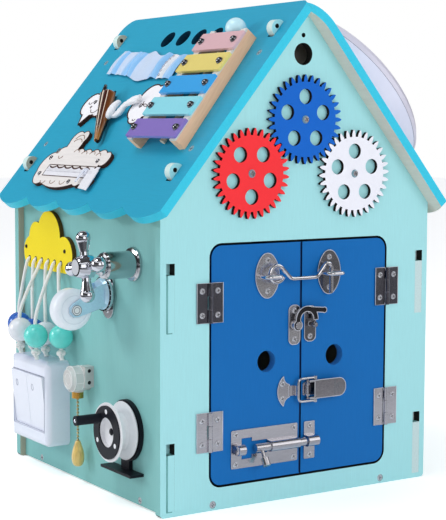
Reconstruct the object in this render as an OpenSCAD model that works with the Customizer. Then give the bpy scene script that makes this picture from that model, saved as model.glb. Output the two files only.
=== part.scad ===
/* [House] */
// Width of the front and back panels
house_w = 320; // [280:1:380]
// Depth from the front face to the back face
house_d = 316; // [300:1:360]
// Height of the panels at the eaves
eave_h = 288; // [270:1:320]
// Height of the panels at the gable point
apex_h = 480; // [450:1:520]
// Thickness of every plywood panel
ply = 9; // [8:0.5:10]
// Distance from the side of the front panel to the side wall
wall_inset = 6.5; // [5:0.5:10]
// Height of the side walls and floor above the ground
wall_raise = 1.2; // [0.5:0.1:4]

/* [Roof] */
// Roof overhang past the front and back faces
roof_over = 18; // [14:1:24]
// Roof length down the slope to the scallop cusps
roof_len = 255; // [250:1:270]
// Depth of the scallops at the eaves
scallop_deep = 10.5; // [6:0.5:14]
// Diameter of the four holes beside the ridge
ridge_hole_d = 21; // [16:1:24]

/* [Doors] */
// Half width of the door opening
open_half = 106.5; // [104:0.5:110]
// Bottom of the door opening
open_low = 21.5; // [18:0.5:26]
// Top of the door opening
open_high = 256; // [252:0.5:260]
// Gap round each door
door_gap = 2.3; // [1.2:0.1:3]
// Diameter of the finger hole in each door
finger_d = 21; // [16:1:24]
// Height of a hinge
hinge_h = 38; // [34:1:42]

/* [Gears] */
// Number of teeth on each gear
teeth = 32; // [28:2:36]
// Distance between the centres of meshing gears
gear_dist = 80.6; // [76:0.2:84]
// Thickness of a gear
gear_t = 4; // [3:0.5:5]

/* [Toys] */
// Bead diameter on the cloud cords
bead_d = 25; // [18:1:25]
// Tap handle reach from its axis
tap_reach = 34; // [30:1:36]
// Caster wheel diameter
wheel_d = 41; // [36:1:44]
// Switch depth from the wall
switch_deep = 27; // [24:1:32]
// Reel flange diameter
reel_d = 58; // [50:1:60]
// Width of a xylophone bar
bar_w = 22; // [18:1:24]
// Mallet ball diameter
ball_d = 21; // [18:1:22]
// Clock case diameter
clock_d = 214; // [180:1:220]
// Clock case depth
clock_deep = 36; // [34:1:50]

/* [Hidden] */
$fn = 64;
eps = 0.01;
fit = 0.05;
half_w = house_w / 2;
slope = atan((apex_h - eave_h) / half_w);
wall_out = half_w - wall_inset;
wall_in = wall_out - ply;
wall_top = apex_h - wall_out * tan(slope) - 1;
roof_y0 = -roof_over;
roof_y1 = house_d + roof_over;
roof_t = ply;
floor_z = wall_raise;
back_in = house_d - ply;
mid_y = house_d / 2;

// Tabs of the panels through the roof, by distance down the slope
tab_u = [34.5, 211];
tab_r = 8.2;
tab_hole_d = 4.4;
tab_hole_up = 2.8;
// Roof screws by distance down the slope
roof_screw_u = [65, 183];
// Floor screws by their distance from the middle
floor_screw_x = 102;
floor_screw_y = 108;
screw_r = 1.9;
screw_head_r = 3.5;
screw_l = 24;
// Slots of the side wall tabs, bottom and top
slot_low = [5, 174];
slot_h = 65;
slot_tab_h = 54;
// Round gable holes
gable_hole_z = apex_h - 44.5;
gable_hole_d = 21.4;
gable_pin_z = apex_h - 26.5;
gable_pin_d = 4.5;
ridge_hole_u = 36.7;
ridge_hole_step = 31.5;

// Doors and hinges
axis_x = open_half - 0.2;
axis_out = 2.4;
knuckle_r = 2.2;
pin_r = 1.1;
leaf_w = 14.5;
leaf_t = 1.2;
leaf_screw = 8.6;
leaf_screw_z = 11.5;
hinge_z_left = [76.6, 200];
hinge_z_right = [80.6, 204.4];
door_in = 0.8;
door_out = open_half - door_gap;
door_low = open_low + door_gap;
door_high = open_high - door_gap;
door_r = 11;
open_r = door_r + door_gap;
finger_x = 41;
finger_z = 139;
pan_r = 3;
pan_h = 1.1;
pan_shank = 1.3;
pan_l = 6;

// Cabin hook
cab_z = 222.5;
cab_left = -41;
cab_right = 33;
cab_w = 27.6;
cab_h = 43.6;
cab_end_r = 9;
cab_screw = 15;
staple_half = 9;
staple_out = 15;
staple_bend = 5;
hook_out = 8.6;
wire_r = 2;
ring_r = 8;
ring_end = -25;
// The hook's ring hangs on the inner leg of its staple
hook_pivot = [cab_left + staple_half, cab_z - 0.5];
ring_hang = ring_r - 2 * wire_r - 0.05;
ring_at = hook_pivot - ring_hang * [cos(40), -sin(40)];
shaft_z = cab_z - 3.6;
shaft_bend = 7;
shaft_a = 45;
hump_bend = 4.5;
hump_a = 50;
hump_z = cab_z + 9.5;
leg_x = cab_right - 3;
leg_low = cab_z - 20;

// Swing latch
swing_x = -8.7;
swing_z = 172.5;
swing_catch_x = 10.2;
swing_w = 13.4;
swing_h = 39;
swing_screw = 14;
swing_out = 4.4;
swing_t = 3;
swing_tail = [23, 13.4];
swing_tail_r = 2.8;

// Toggle latch
tog_z = 107.7;
tog_keep_x = -21.2;
tog_pivot = [6, 3.7];
tog_bail_pivot = [14, 5.2];
tog_bar_x = -6.2;
bail_r = 1.3;
bail_half = 11.4;
lever_half = 9;
lever_end = 50;
lever_corner = 8;
bail_bend = 4;
keep_h = 29;
keep_arc = 19;

// Barrel bolt
bolt_z = 56.3;
bolt_x0 = -82;
bolt_x1 = -4;
bolt_r = 4;
bolt_out = 5.4;
bolt_tip = 3.4;
bolt_keep_x = 4;
bolt_keep_w = 13;
bolt_screw = 14.5;
bolt_h = 37.5;
bolt_strap = 8;
bolt_strap_in = 4;
bolt_win = [-70, -40];
bolt_win_h = 6.4;
bolt_wide = 12;
bolt_wide_h = 10.2;
bolt_tail = 7;
knob_x = -50;
knob_a = 58;
knob_l = 13;
knob_r = 4;

// Gears, placed about the gable centre line
gear_top_z = 372.5;
red_turn = 39.6;
white_turn = 41.2;
red_at = [-gear_dist * cos(red_turn), gear_top_z - gear_dist * sin(red_turn)];
white_at = [gear_dist * cos(white_turn), gear_top_z - gear_dist * sin(white_turn)];
gear_gap = 0.6;
gear_bore = 2.5;
gear_pitch_r = gear_dist / 2;
gear_tip = gear_pitch_r + 3;
gear_root = gear_pitch_r - 3.9;
gear_press = 20;
gear_base = gear_pitch_r * cos(gear_press);
gear_back = 0.5;
tooth = 360 / teeth;
// Phases that put a gap of each side gear against a tooth of the top gear
phase_red = red_turn - tooth / 2 + (180 + red_turn);
phase_white = 180 - white_turn - tooth / 2 - white_turn;

// Depths of the wall toys keep their share of the house depth they were laid out for
lay_d = 316;
lay = house_d / lay_d;

// Cloud and cords on the left wall, as depth and height
cloud_t = 5;
cloud_y = 236 * lay;
cloud_z = 213;
cord_r = 2;
cord_hole_r = 2.3;
bead_r = bead_d / 2;
bead_bore = 2.6;
hole_y = [for (d = [46, 31, 16, 0.5, -14.5, -29.5]) cloud_y + d];
hole_z = 223;
// Bead centres as distance out, depth from the cloud's middle and height
bead_place = [[14, 55, 151], [14, 21, 148], [36, 5, 152], [14, -10, 148], [33.5, -27.5, 149], [14, -46.5, 149]];
bead_at = [for (b = bead_place) [b[0], cloud_y + b[1], b[2]]];

// Tap on the left wall
tap_y = 61 * lay;
tap_z = 234;
tap_turn = 9;
tap_hub = 52;

// Caster on the left wall
cast_y = 111 * lay;
cast_z = 201;
cast_trail = 13;
cast_off = 42.3;
wheel_r = wheel_d / 2;
wheel_t = 17;
arm_t = 1.8;
arm_y = wheel_t / 2 + 1.2;

// Light switch on the left wall
sw_y = 241 * lay;
sw_z = 76.3;
sw_w = 86;
sw_h = 90;
sw_pocket_w = 75.2;
sw_pocket_h = 59.2;
sw_pocket_deep = 9;
rock_t = 5;
rock_tilt = 6;
rock_axis = switch_deep - 2.6;

// Pull switch on the left wall
pull_y = 158.5 * lay;
pull_z = 110;
pull_out = 11;
pull_r = 13;
collar_z = 90;
chain_r = 1.2;
bob_top = 45.5;
bob_low = 19;

// Reel on the left wall
reel_y = 72 * lay;
reel_z = 71.2;
reel_r = reel_d / 2;
reel_axle = 3;
reel_front = 23.5;
knob_y = 13;
knob_z = 12;

// Xylophone on the left roof, as distance down the slope and depth
xyl_y = 60;
rail_u0 = 45.5;
rail_u1 = 185;
rail_w = 9.4;
rail_h = 12.5;
felt_t = 2;
rail_skew = 5.5;
rail_mid = 29.5;
bar_u = [62.5, 90, 117.5, 145, 172.4];
bar_len = [75, 79.5, 84, 88.5, 93];
bar_t = 3;
stud_r = 3.8;
ball_r = ball_d / 2;
ball_u = 40.8;
mallet_y = 56;
stick_r = 3;
stick_len = 139;
stick_drop = 2.9;

// Figures on the left roof
fig_t = 4;

// Clock on the right roof
clock_u = 132;
clock_y = 98;
clock_r = clock_d / 2;
bezel_w = 12;
dial_low = clock_deep - 9;

// Frames: each draws in across, up and outward from its face
module front_frame(x = 0, z = 0) {
  translate([x, 0, z]) rotate([90, 0, 0]) children();
}

module back_frame(x = 0, z = 0) {
  translate([x, house_d, z]) rotate([90, 0, 180]) children();
}

module left_frame(y = 0, z = 0) {
  translate([-wall_out, y, z]) rotate([90, 0, -90]) children();
}

module right_frame(y = 0, z = 0) {
  translate([wall_out, y, z]) rotate([90, 0, 90]) children();
}

module roof_frame(u = 0, y = 0) {
  translate([0, 0, apex_h]) rotate([slope, 0, -90]) translate([-y, -u, roof_t]) children();
}

module roof_frame_right(u = 0, y = 0) {
  translate([0, 0, apex_h]) rotate([slope, 0, 90]) translate([y, -u, roof_t]) children();
}

// Plan shapes
module rrect(w, h, r) {
  square([w - 2 * r, h], center = true);
  square([w, h - 2 * r], center = true);
  for (i = [-1, 1], j = [-1, 1]) translate([i * (w / 2 - r), j * (h / 2 - r)]) circle(r);
}

module stadium(w, h) {
  square([w, h - w], center = true);
  for (j = [-1, 1]) translate([0, j * (h - w) / 2]) circle(w / 2);
}

module rod_z(r, a, b) {
  translate([0, 0, a]) cylinder(r = r, h = b - a);
}

// Countersunk wood screw, its head flush at zero
module wood_screw(l = screw_l) {
  difference() {
    union() {
      rod_z(screw_r, -l, -1.9);
      translate([0, 0, -2]) cylinder(r1 = screw_r, r2 = screw_head_r, h = 1.9);
    }
    for (a = [0, 90]) rotate([0, 0, a]) cube([4.2, 0.9, 2.4], center = true);
  }
}

module wood_screw_hole(l = screw_l) {
  rod_z(screw_r + fit, -l - 0.5, 0.5);
  translate([0, 0, -2 - fit]) cylinder(r1 = screw_r + fit, r2 = screw_head_r + 2 * fit, h = 2 + 2 * fit);
}

// Round-head fitting screw standing on a plate
module pan_screw(l = pan_l, r = pan_r) {
  difference() {
    union() {
      rod_z(pan_shank, -l, eps);
      cylinder(r1 = r, r2 = r * 0.72, h = pan_h);
    }
    for (a = [20, 110]) rotate([0, 0, a]) translate([0, 0, pan_h]) cube([r * 1.2, 0.6, 1], center = true);
  }
}

module pan_hole(l = pan_l) {
  rod_z(pan_shank + fit, -l - 0.4, 8);
}

// Gable outline with the half-round tabs that pass through the roof
module gable_outline() {
  difference() {
    union() {
      polygon([[-half_w + 4, 0], [half_w - 4, 0], [half_w, 4], [half_w, eave_h], [0, apex_h], [-half_w, eave_h],
        [-half_w, 4]]);
      for (s = [-1, 1]) translate([s * (half_w - 4), 4]) circle(4);
      for (s = [-1, 1], u = tab_u) translate([0, apex_h]) rotate(-s * slope) translate([s * u, 0]) {
        translate([-tab_r, -1]) square([2 * tab_r, roof_t + 1]);
        intersection() {
          translate([0, roof_t]) circle(tab_r);
          translate([-tab_r, roof_t - 0.5]) square([2 * tab_r, tab_r + 1]);
        }
      }
    }
    for (s = [-1, 1], u = tab_u) translate([0, apex_h]) rotate(-s * slope) translate([s * u, roof_t + tab_hole_up])
      circle(d = tab_hole_d);
    for (s = [-1, 1], z = slot_low) translate([s * (wall_out - ply / 2), z + slot_h / 2])
      square([ply + 2 * fit, slot_h], center = true);
  }
}

module roof_screw_marks() {
  for (u = roof_screw_u, y = [ply / 2, house_d - ply / 2]) {
    roof_frame(u, y) children();
    roof_frame_right(u, y) children();
  }
}

module floor_screw_marks() {
  for (s = [-1, 1]) {
    front_frame(s * floor_screw_x, floor_z + ply / 2) children();
    back_frame(s * floor_screw_x, floor_z + ply / 2) children();
    left_frame(mid_y + s * floor_screw_y, floor_z + ply / 2) children();
    right_frame(mid_y + s * floor_screw_y, floor_z + ply / 2) children();
  }
}

module gear_marks() {
  front_frame(0, gear_top_z) children();
  front_frame(red_at[0], red_at[1]) children();
  front_frame(white_at[0], white_at[1]) children();
}

// Hinge screw places on the front panel
module frame_leaf_marks() {
  for (z = hinge_z_left, j = [-1, 1]) front_frame(-axis_x - leaf_screw, z + j * leaf_screw_z) children();
  for (z = hinge_z_right, j = [-1, 1]) front_frame(axis_x + leaf_screw, z + j * leaf_screw_z) children();
}

module front_panel() color([0.67, 0.88, 0.9]) difference() {
  front_frame() translate([0, 0, -ply]) linear_extrude(ply) difference() {
    gable_outline();
    translate([0, (open_low + open_high) / 2]) rrect(2 * open_half, open_high - open_low, open_r);
    translate([0, gable_hole_z]) circle(d = gable_hole_d);
    translate([0, gable_pin_z]) circle(d = gable_pin_d);
  }
  roof_screw_marks() wood_screw_hole();
  floor_screw_marks() wood_screw_hole();
  frame_leaf_marks() pan_hole();
  gear_marks() rod_z(1.5 + fit, -8, 1);
}

module back_panel() color([0.67, 0.88, 0.9]) difference() {
  translate([0, house_d, 0]) front_frame() linear_extrude(ply) gable_outline();
  roof_screw_marks() wood_screw_hole();
  floor_screw_marks() wood_screw_hole();
}

module side_wall() {
  difference() {
    union() {
      translate([0, ply, wall_raise]) cube([ply, house_d - 2 * ply, wall_top - wall_raise]);
      for (z = slot_low, y = [0, back_in]) translate([0, y, z]) cube([ply, ply, slot_tab_h]);
    }
  }
}

// Fitting screw places on the left wall
module wall_fit_marks() {
  for (s = [-1, 1]) left_frame(cast_y, cast_z + s * 17) children();
}

module cloud_marks() {
  left_frame(cloud_y + 54, cloud_z + 22) children();
  left_frame(cloud_y - 38, cloud_z + 23) children();
}

module left_wall() color([0.6, 0.83, 0.83]) difference() {
  translate([-wall_out, 0, 0]) side_wall();
  floor_screw_marks() wood_screw_hole();
  wall_fit_marks() pan_hole();
  cloud_marks() pan_hole();
}

module right_wall() color([0.6, 0.83, 0.83]) difference() {
  translate([wall_in, 0, 0]) side_wall();
  floor_screw_marks() wood_screw_hole();
}

module floor_panel() color([0.85, 0.72, 0.55]) difference() {
  translate([-wall_in, ply, floor_z]) cube([2 * wall_in, house_d - 2 * ply, ply]);
  floor_screw_marks() wood_screw_hole();
}

// Roof plan with x to the front and y up the slope
module roof_plan(front_r, back_r) {
  n = 5;
  pitch = (roof_y1 - roof_y0) / n;
  sr = (pitch * pitch / 4 + scallop_deep * scallop_deep) / (2 * scallop_deep);
  difference() {
    union() {
      translate([-roof_y1, -roof_len]) square([roof_y1 - roof_y0, roof_len]);
      for (i = [0:n - 1]) intersection() {
        translate([-roof_y1 + pitch * (i + 0.5), -roof_len - scallop_deep + sr]) circle(sr);
        translate([-roof_y1 + pitch * i, -roof_len - scallop_deep - 1]) square([pitch, scallop_deep + 3]);
      }
    }
    translate([-roof_y0, 0]) corner_cut(front_r);
    translate([-roof_y1, 0]) mirror([1, 0]) corner_cut(back_r);
  }
}

// Cuts an outer corner at the origin to a round
module corner_cut(r) {
  difference() {
    translate([-r, -r]) square(r + 1);
    translate([-r, -r]) circle(r);
  }
}

module roof_slots() {
  for (u = tab_u, y = [ply / 2, house_d - ply / 2])
    translate([-y, -u - 1.2]) square([ply + 0.4, 2 * tab_r + 2.8], center = true);
}

module roof_left() color([0.3, 0.68, 0.8]) difference() {
  roof_frame() translate([0, 0, -roof_t]) linear_extrude(roof_t) difference() {
    roof_plan(8, 20);
    roof_slots();
    for (i = [-1.5:1.5]) translate([-mid_y + i * ridge_hole_step, -ridge_hole_u]) circle(d = ridge_hole_d);
  }
  roof_screw_marks() wood_screw_hole();
  stud_marks() pan_hole(5);
  zip_marks() pan_hole();
  white_marks() pan_hole();
}

module roof_right() color([0.3, 0.68, 0.8]) difference() {
  roof_frame_right() translate([0, 0, -roof_t]) linear_extrude(roof_t) mirror([1, 0]) difference() {
    roof_plan(28, 20);
    roof_slots();
  }
  roof_screw_marks() wood_screw_hole();
}

module house_screws() color([0.55, 0.55, 0.57]) {
  roof_screw_marks() wood_screw();
  floor_screw_marks() wood_screw();
  frame_leaf_marks() translate([0, 0, leaf_t]) pan_screw(pan_l + leaf_t);
  gear_marks() {
    rod_z(1.5, -7, 0);
    rod_z(gear_bore - fit, 0, gear_gap + gear_t + 0.2);
    difference() {
      translate([0, 0, gear_gap + gear_t + 0.2]) cylinder(r1 = 4, r2 = 2.8, h = 1.6);
      for (a = [30, 120]) rotate([0, 0, a]) translate([0, 0, gear_gap + gear_t + 1.8]) cube([4, 0.8, 1.4], center = true);
    }
  }
  wall_fit_marks() translate([0, 0, 2]) pan_screw(pan_l + 2);
  cloud_marks() translate([0, 0, cloud_t]) pan_screw(pan_l + cloud_t, 2.2);
  zip_marks() translate([0, 0, fig_t]) pan_screw(pan_l + fig_t);
  white_marks() translate([0, 0, fig_t]) pan_screw(pan_l + fig_t);
}

// Hinges: frame leaf with two knuckles and the pin, door leaf with one
module leaf_plate(s) {
  difference() {
    translate([s > 0 ? 2.7 : -leaf_w, -hinge_h / 2]) square([leaf_w - 2.7, hinge_h]);
    for (j = [-1, 1]) translate([s * leaf_screw, j * leaf_screw_z]) circle(pan_shank + fit);
  }
}

module frame_leaf(s) {
  third = hinge_h / 3;
  difference() {
    union() {
      linear_extrude(leaf_t) leaf_plate(s);
      for (j = [-1, 1]) translate([0, j * third, 0]) {
        translate([s > 0 ? 0 : -3.2, -third / 2, 0]) cube([3.2, third, leaf_t]);
        translate([0, third / 2, axis_out]) rotate([90, 0, 0]) cylinder(r = knuckle_r, h = third);
      }
    }
    translate([0, hinge_h, axis_out]) rotate([90, 0, 0]) cylinder(r = pin_r + fit, h = 2 * hinge_h);
  }
  translate([0, hinge_h / 2, axis_out]) rotate([90, 0, 0]) cylinder(r = pin_r, h = hinge_h);
}

module door_leaf(s) {
  third = hinge_h / 3 - 0.6;
  difference() {
    union() {
      linear_extrude(leaf_t) leaf_plate(s);
      translate([s > 0 ? 0 : -3.2, -third / 2, 0]) cube([3.2, third, leaf_t]);
      translate([0, third / 2, axis_out]) rotate([90, 0, 0]) cylinder(r = knuckle_r, h = third);
    }
    translate([0, hinge_h, axis_out]) rotate([90, 0, 0]) cylinder(r = pin_r + fit, h = 2 * hinge_h);
  }
}

module hinge_frame_leaves() color([0.66, 0.65, 0.68]) {
  for (z = hinge_z_left) front_frame(-axis_x, z) frame_leaf(-1);
  for (z = hinge_z_right) front_frame(axis_x, z) frame_leaf(1);
}

module left_hinge_leaves() color([0.66, 0.65, 0.68]) {
  for (z = hinge_z_left) front_frame(-axis_x, z) door_leaf(1);
}

module right_hinge_leaves() color([0.66, 0.65, 0.68]) {
  for (z = hinge_z_right) front_frame(axis_x, z) door_leaf(-1);
}

// Fitting screw places on the doors
module left_door_marks() {
  for (z = hinge_z_left, j = [-1, 1]) front_frame(-axis_x + leaf_screw, z + j * leaf_screw_z) children();
  for (j = [-1, 1]) front_frame(cab_left, cab_z + j * cab_screw) children();
  for (j = [-1, 1]) front_frame(swing_x, swing_z + j * swing_screw) children();
  for (j = [-1, 1]) front_frame(tog_keep_x - 1.5, tog_z + j * 7.3) children();
  for (x = [bolt_x0 + 5, bolt_x1 - 5], j = [-1, 1]) front_frame(x, bolt_z + j * bolt_screw) children();
}

module right_door_marks() {
  for (z = hinge_z_right, j = [-1, 1]) front_frame(axis_x - leaf_screw, z + j * leaf_screw_z) children();
  for (j = [-1, 1]) front_frame(cab_right, cab_z + j * cab_screw) children();
  for (j = [-1, 1]) front_frame(swing_catch_x, swing_z + j * (swing_screw - 1.5)) children();
  for (x = [19, 29]) front_frame(x, tog_z) children();
  for (j = [-1, 1]) front_frame(bolt_keep_x + bolt_keep_w / 2, bolt_z + j * bolt_screw) children();
}

module door_plan() {
  w = door_out - door_in;
  h = door_high - door_low;
  translate([door_in, door_low + door_r]) square([w - door_r, h - 2 * door_r]);
  translate([door_in, door_low]) square([w - door_r, h]);
  translate([door_in, door_low + door_r]) square([w, h - 2 * door_r]);
  for (z = [door_low + door_r, door_high - door_r]) translate([door_out - door_r, z]) circle(door_r);
}

module left_door() color([0.11, 0.41, 0.71]) difference() {
  front_frame() translate([0, 0, -ply]) linear_extrude(ply) mirror([1, 0]) difference() {
    door_plan();
    translate([finger_x, finger_z]) circle(d = finger_d);
  }
  left_door_marks() pan_hole();
}

module right_door() color([0.11, 0.41, 0.71]) difference() {
  front_frame() translate([0, 0, -ply]) linear_extrude(ply) difference() {
    door_plan();
    translate([finger_x, finger_z]) circle(d = finger_d);
  }
  right_door_marks() pan_hole();
}

module left_door_screws() color([0.6, 0.6, 0.62]) {
  left_door_marks() translate([0, 0, leaf_t]) pan_screw(pan_l + leaf_t);
}

module right_door_screws() color([0.6, 0.6, 0.62]) {
  right_door_marks() translate([0, 0, leaf_t]) pan_screw(pan_l + leaf_t);
}

// Oval of four arcs with round ends
module oval(w, h, r) {
  a = h / 2 - r;
  side_r = (a * a + w * w / 4 - r * r) / (w - 2 * r);
  side_x = side_r - w / 2;
  tip = a * side_r / (side_r - r);
  intersection() {
    translate([side_x, 0]) circle(side_r);
    translate([-side_x, 0]) circle(side_r);
    square([2 * w, 2 * tip], center = true);
  }
  for (j = [-1, 1]) translate([0, j * a]) circle(r);
}

// Round wire in a plane along corner points, with a bend radius for each point
function turn_at(p, i) = let (a = p[i] - p[i - 1], b = p[i + 1] - p[i]) atan2(a[0] * b[1] - a[1] * b[0], a * b);
function set_back(p, i, bend) = i == 0 || i == len(p) - 1 ? 0 : bend[i] * tan(abs(turn_at(p, i)) / 2);
module bent_wire(p, r, bend) {
  for (i = [0:len(p) - 2]) {
    d = (p[i + 1] - p[i]) / norm(p[i + 1] - p[i]);
    from = p[i] + d * set_back(p, i, bend);
    to = p[i + 1] - d * set_back(p, i + 1, bend);
    translate(from) rotate([0, 0, atan2(d[1], d[0])]) rotate([0, 90, 0]) cylinder(r = r, h = norm(to - from));
  }
  for (i = [1:len(p) - 2]) {
    d = (p[i] - p[i - 1]) / norm(p[i] - p[i - 1]);
    s = sign(turn_at(p, i));
    from = p[i] - d * set_back(p, i, bend);
    centre = from + s * bend[i] * [-d[1], d[0]];
    start = atan2(d[1], d[0]) - s * 90;
    translate(centre) rotate(s > 0 ? start : start + turn_at(p, i))
      rotate_extrude(angle = abs(turn_at(p, i))) translate([bend[i], 0]) circle(r);
  }
}

// Cabin hook: two oval plates with wire staples, and the hook between them
module cabin_staple() {
  linear_extrude(leaf_t) difference() {
    oval(cab_w, cab_h, cab_end_r);
    for (j = [-1, 1]) translate([0, j * cab_screw]) circle(pan_shank + fit);
  }
  translate([0, -0.5, 0]) rotate([90, 0, 0])
    bent_wire([[-staple_half, leaf_t / 2], [-staple_half, staple_out], [staple_half, staple_out],
      [staple_half, leaf_t / 2]], wire_r, [0, staple_bend, staple_bend, 0]);
}

module cabin_hook_staple() color([0.72, 0.72, 0.74]) front_frame(cab_left, cab_z) cabin_staple();

// Points of an arc in a plane, from one angle to another
function arc_points(c, r, from, to) = let (n = ceil(abs(to - from) / 12))
  [for (i = [0:n]) let (a = from + (to - from) * i / n) [c[0] + r * cos(a), c[1] + r * sin(a), 0]];

module cabin_hook() color([0.72, 0.72, 0.74]) front_frame() translate([0, 0, hook_out]) {
  bend_z = shaft_z + shaft_bend;
  leave = ring_at + ring_r * [cos(90 - shaft_a), sin(90 - shaft_a)];
  first_x = leave[0] + (leave[1] - bend_z + shaft_bend * cos(shaft_a)) / tan(shaft_a) + shaft_bend * sin(shaft_a);
  hump = [leg_x - hump_bend, hump_z - hump_bend];
  hump_from = hump + hump_bend * [-sin(hump_a), cos(hump_a)];
  second_x = hump_from[0] - (hump_from[1] - bend_z + shaft_bend * cos(hump_a)) / tan(hump_a) - shaft_bend * sin(hump_a);
  path = concat(arc_points(ring_at, ring_r, ring_end, -270 - shaft_a),
    arc_points([first_x, bend_z], shaft_bend, -90 - shaft_a, -90),
    arc_points([second_x, bend_z], shaft_bend, -90, hump_a - 90),
    arc_points(hump, hump_bend, 90 + hump_a, 0), [[leg_x, leg_low, 0]]);
  tube(path, [for (q = path) wire_r], 14, [0, 0, 1]);
}

module cabin_hook_eye() color([0.72, 0.72, 0.74]) front_frame(cab_right, cab_z) cabin_staple();

// Swing latch: base plate with pivot, swan arm, and catch plate with a knob
module swing_plate(h, s) {
  linear_extrude(leaf_t) difference() {
    rrect(swing_w, h, 5.5);
    for (j = [-1, 1]) translate([0, j * s]) circle(pan_shank + fit);
  }
}

module swing_latch_plate() color([0.78, 0.76, 0.7]) front_frame(swing_x, swing_z) {
  swing_plate(swing_h, swing_screw);
  rod_z(4, leaf_t - eps, swing_out - 0.3);
  rod_z(2, leaf_t, swing_out + swing_t + 0.4);
  rod_z(3.6, swing_out + swing_t + 0.3, swing_out + swing_t + 1.6);
}

module swing_latch_arm() color([0.78, 0.76, 0.7]) front_frame(0, swing_z) translate([0, 0, swing_out])
  linear_extrude(swing_t) {
    difference() {
      union() {
        translate([swing_x, 0]) circle(5);
        intersection() {
          difference() {
            translate([2.2, 5.2]) circle(13.2);
            translate([2.2, 5.2]) circle(8);
          }
          translate([-12, 4.6]) square([30, 20]);
        }
        translate([-11.1, 0]) square([5.2, 5.2]);
      }
      translate([swing_x, 0]) circle(2.05);
    }
    translate([4, 15.4]) rotate(atan2(swing_tail[1] - 15.4, swing_tail[0] - 4)) translate([0, -2.4])
      square([norm(swing_tail - [4, 15.4]), 4.8]);
    translate(swing_tail) circle(swing_tail_r);
  }

module swing_latch_catch() color([0.78, 0.76, 0.7]) front_frame(swing_catch_x, swing_z) {
  swing_plate(swing_h - 4, swing_screw - 1.5);
  rod_z(2.2, leaf_t - eps, 8);
  difference() {
    translate([0, 0, 9]) sphere(3.2);
    translate([0, 0, 1]) cube([8, 8, 14], center = true);
  }
  rod_z(3.2, 7.6, 9);
}

// Toggle latch: keeper with a lip, base with ears, lever and wire bail
module toggle_keeper() color([0.7, 0.7, 0.72]) front_frame(0, tog_z) {
  translate([tog_keep_x, 0, 0]) linear_extrude(leaf_t) difference() {
    intersection() {
      translate([keep_arc - 7, 0]) circle(keep_arc);
      translate([-7, -keep_h / 2]) square([14, keep_h]);
    }
    for (j = [-1, 1]) translate([8.6, j * keep_h / 2]) circle(8.4);
    for (j = [-1, 1]) translate([-1.5, j * 7.3]) circle(pan_shank + fit);
  }
  translate([tog_keep_x + 6, -5, 0]) cube([tog_bar_x - 2.2 - tog_keep_x - 6, 10, leaf_t + 0.8]);
  translate([tog_bar_x - 3.2, -5, 0]) cube([1.2, 10, 4.8]);
}

module toggle_base() color([0.7, 0.7, 0.72]) front_frame(0, tog_z) {
  difference() {
    translate([17, 0, 0]) linear_extrude(leaf_t) difference() {
      rrect(30, 2 * lever_half - 5, 2);
      for (x = [2, 12]) translate([x, 0]) circle(pan_shank + fit);
    }
  }
  for (j = [-1, 1]) translate([tog_pivot[0], j * (lever_half - 3.6), 0]) {
    translate([-2.4, -0.9, 0]) cube([4.8, 1.8, tog_pivot[1]]);
    translate([0, 0.9, tog_pivot[1]]) rotate([90, 0, 0]) cylinder(r = 2.4, h = 1.8);
  }
  translate([tog_pivot[0], lever_half + 0.8, tog_pivot[1]]) rotate([90, 0, 0])
    cylinder(r = 1.2, h = 2 * lever_half + 1.6);
}

module toggle_lever() color([0.7, 0.7, 0.72]) front_frame(0, tog_z) difference() {
  union() {
    translate([12, -lever_half, 6.6]) cube([lever_end - 12 - lever_corner, 2 * lever_half, 1.2]);
    translate([20, -lever_half + lever_corner, 6.6]) cube([lever_end - 20, 2 * (lever_half - lever_corner), 1.2]);
    for (j = [-1, 1]) translate([lever_end - lever_corner, j * (lever_half - lever_corner), 6.6])
      cylinder(r = lever_corner, h = 1.2);
    for (j = [-1, 1]) translate([0, j * (lever_half - 0.6), 0]) {
      translate([tog_pivot[0], -0.6, 2.6]) cube([22, 1.2, 5.2]);
      translate([tog_pivot[0], 0.6, tog_pivot[1] + 0.8]) rotate([90, 0, 0]) cylinder(r = 2.8, h = 1.2);
    }
    translate([tog_bail_pivot[0], bail_half - 0.6, tog_bail_pivot[1]]) rotate([90, 0, 0])
      cylinder(r = 0.9, h = 2 * bail_half - 1.2);
  }
  translate([tog_pivot[0], 2 * lever_half, tog_pivot[1]]) rotate([90, 0, 0])
    cylinder(r = 1.2 + fit, h = 4 * lever_half);
}

module toggle_bail() color([0.75, 0.75, 0.77]) front_frame(0, tog_z) translate([0, 0, tog_bail_pivot[1]]) {
  wire_end = tog_bail_pivot[0] - 1.2;
  difference() {
    union() {
      bent_wire([[wire_end, bail_half], [tog_bar_x, bail_half], [tog_bar_x, -bail_half], [wire_end, -bail_half]],
        bail_r, [0, bail_bend, bail_bend, 0]);
      for (j = [-1, 1]) translate([tog_bail_pivot[0], j * bail_half + bail_r + 0.3, 0]) rotate([90, 0, 0])
        cylinder(r = 2.1, h = 2 * bail_r + 0.6);
    }
    translate([tog_bail_pivot[0], 2 * bail_half, 0]) rotate([90, 0, 0]) cylinder(r = 0.9 + fit, h = 4 * bail_half);
  }
}

// Barrel bolt: pressed guide, rod with knob, and keeper
module barrel_shell(w, r) {
  difference() {
    union() {
      translate([0, 0, bolt_out]) rotate([0, 90, 0]) cylinder(r = r + 1.2, h = w);
      translate([0, -r - 1.2, 0]) cube([w, 2 * r + 2.4, bolt_out]);
    }
    translate([-1, 0, bolt_out]) rotate([0, 90, 0]) cylinder(r = r, h = w + 2);
    translate([-1, -r, leaf_t]) cube([w + 2, 2 * r, bolt_out - leaf_t]);
    translate([-1, -20, -10]) cube([w + 2, 40, 10]);
  }
}

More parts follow.
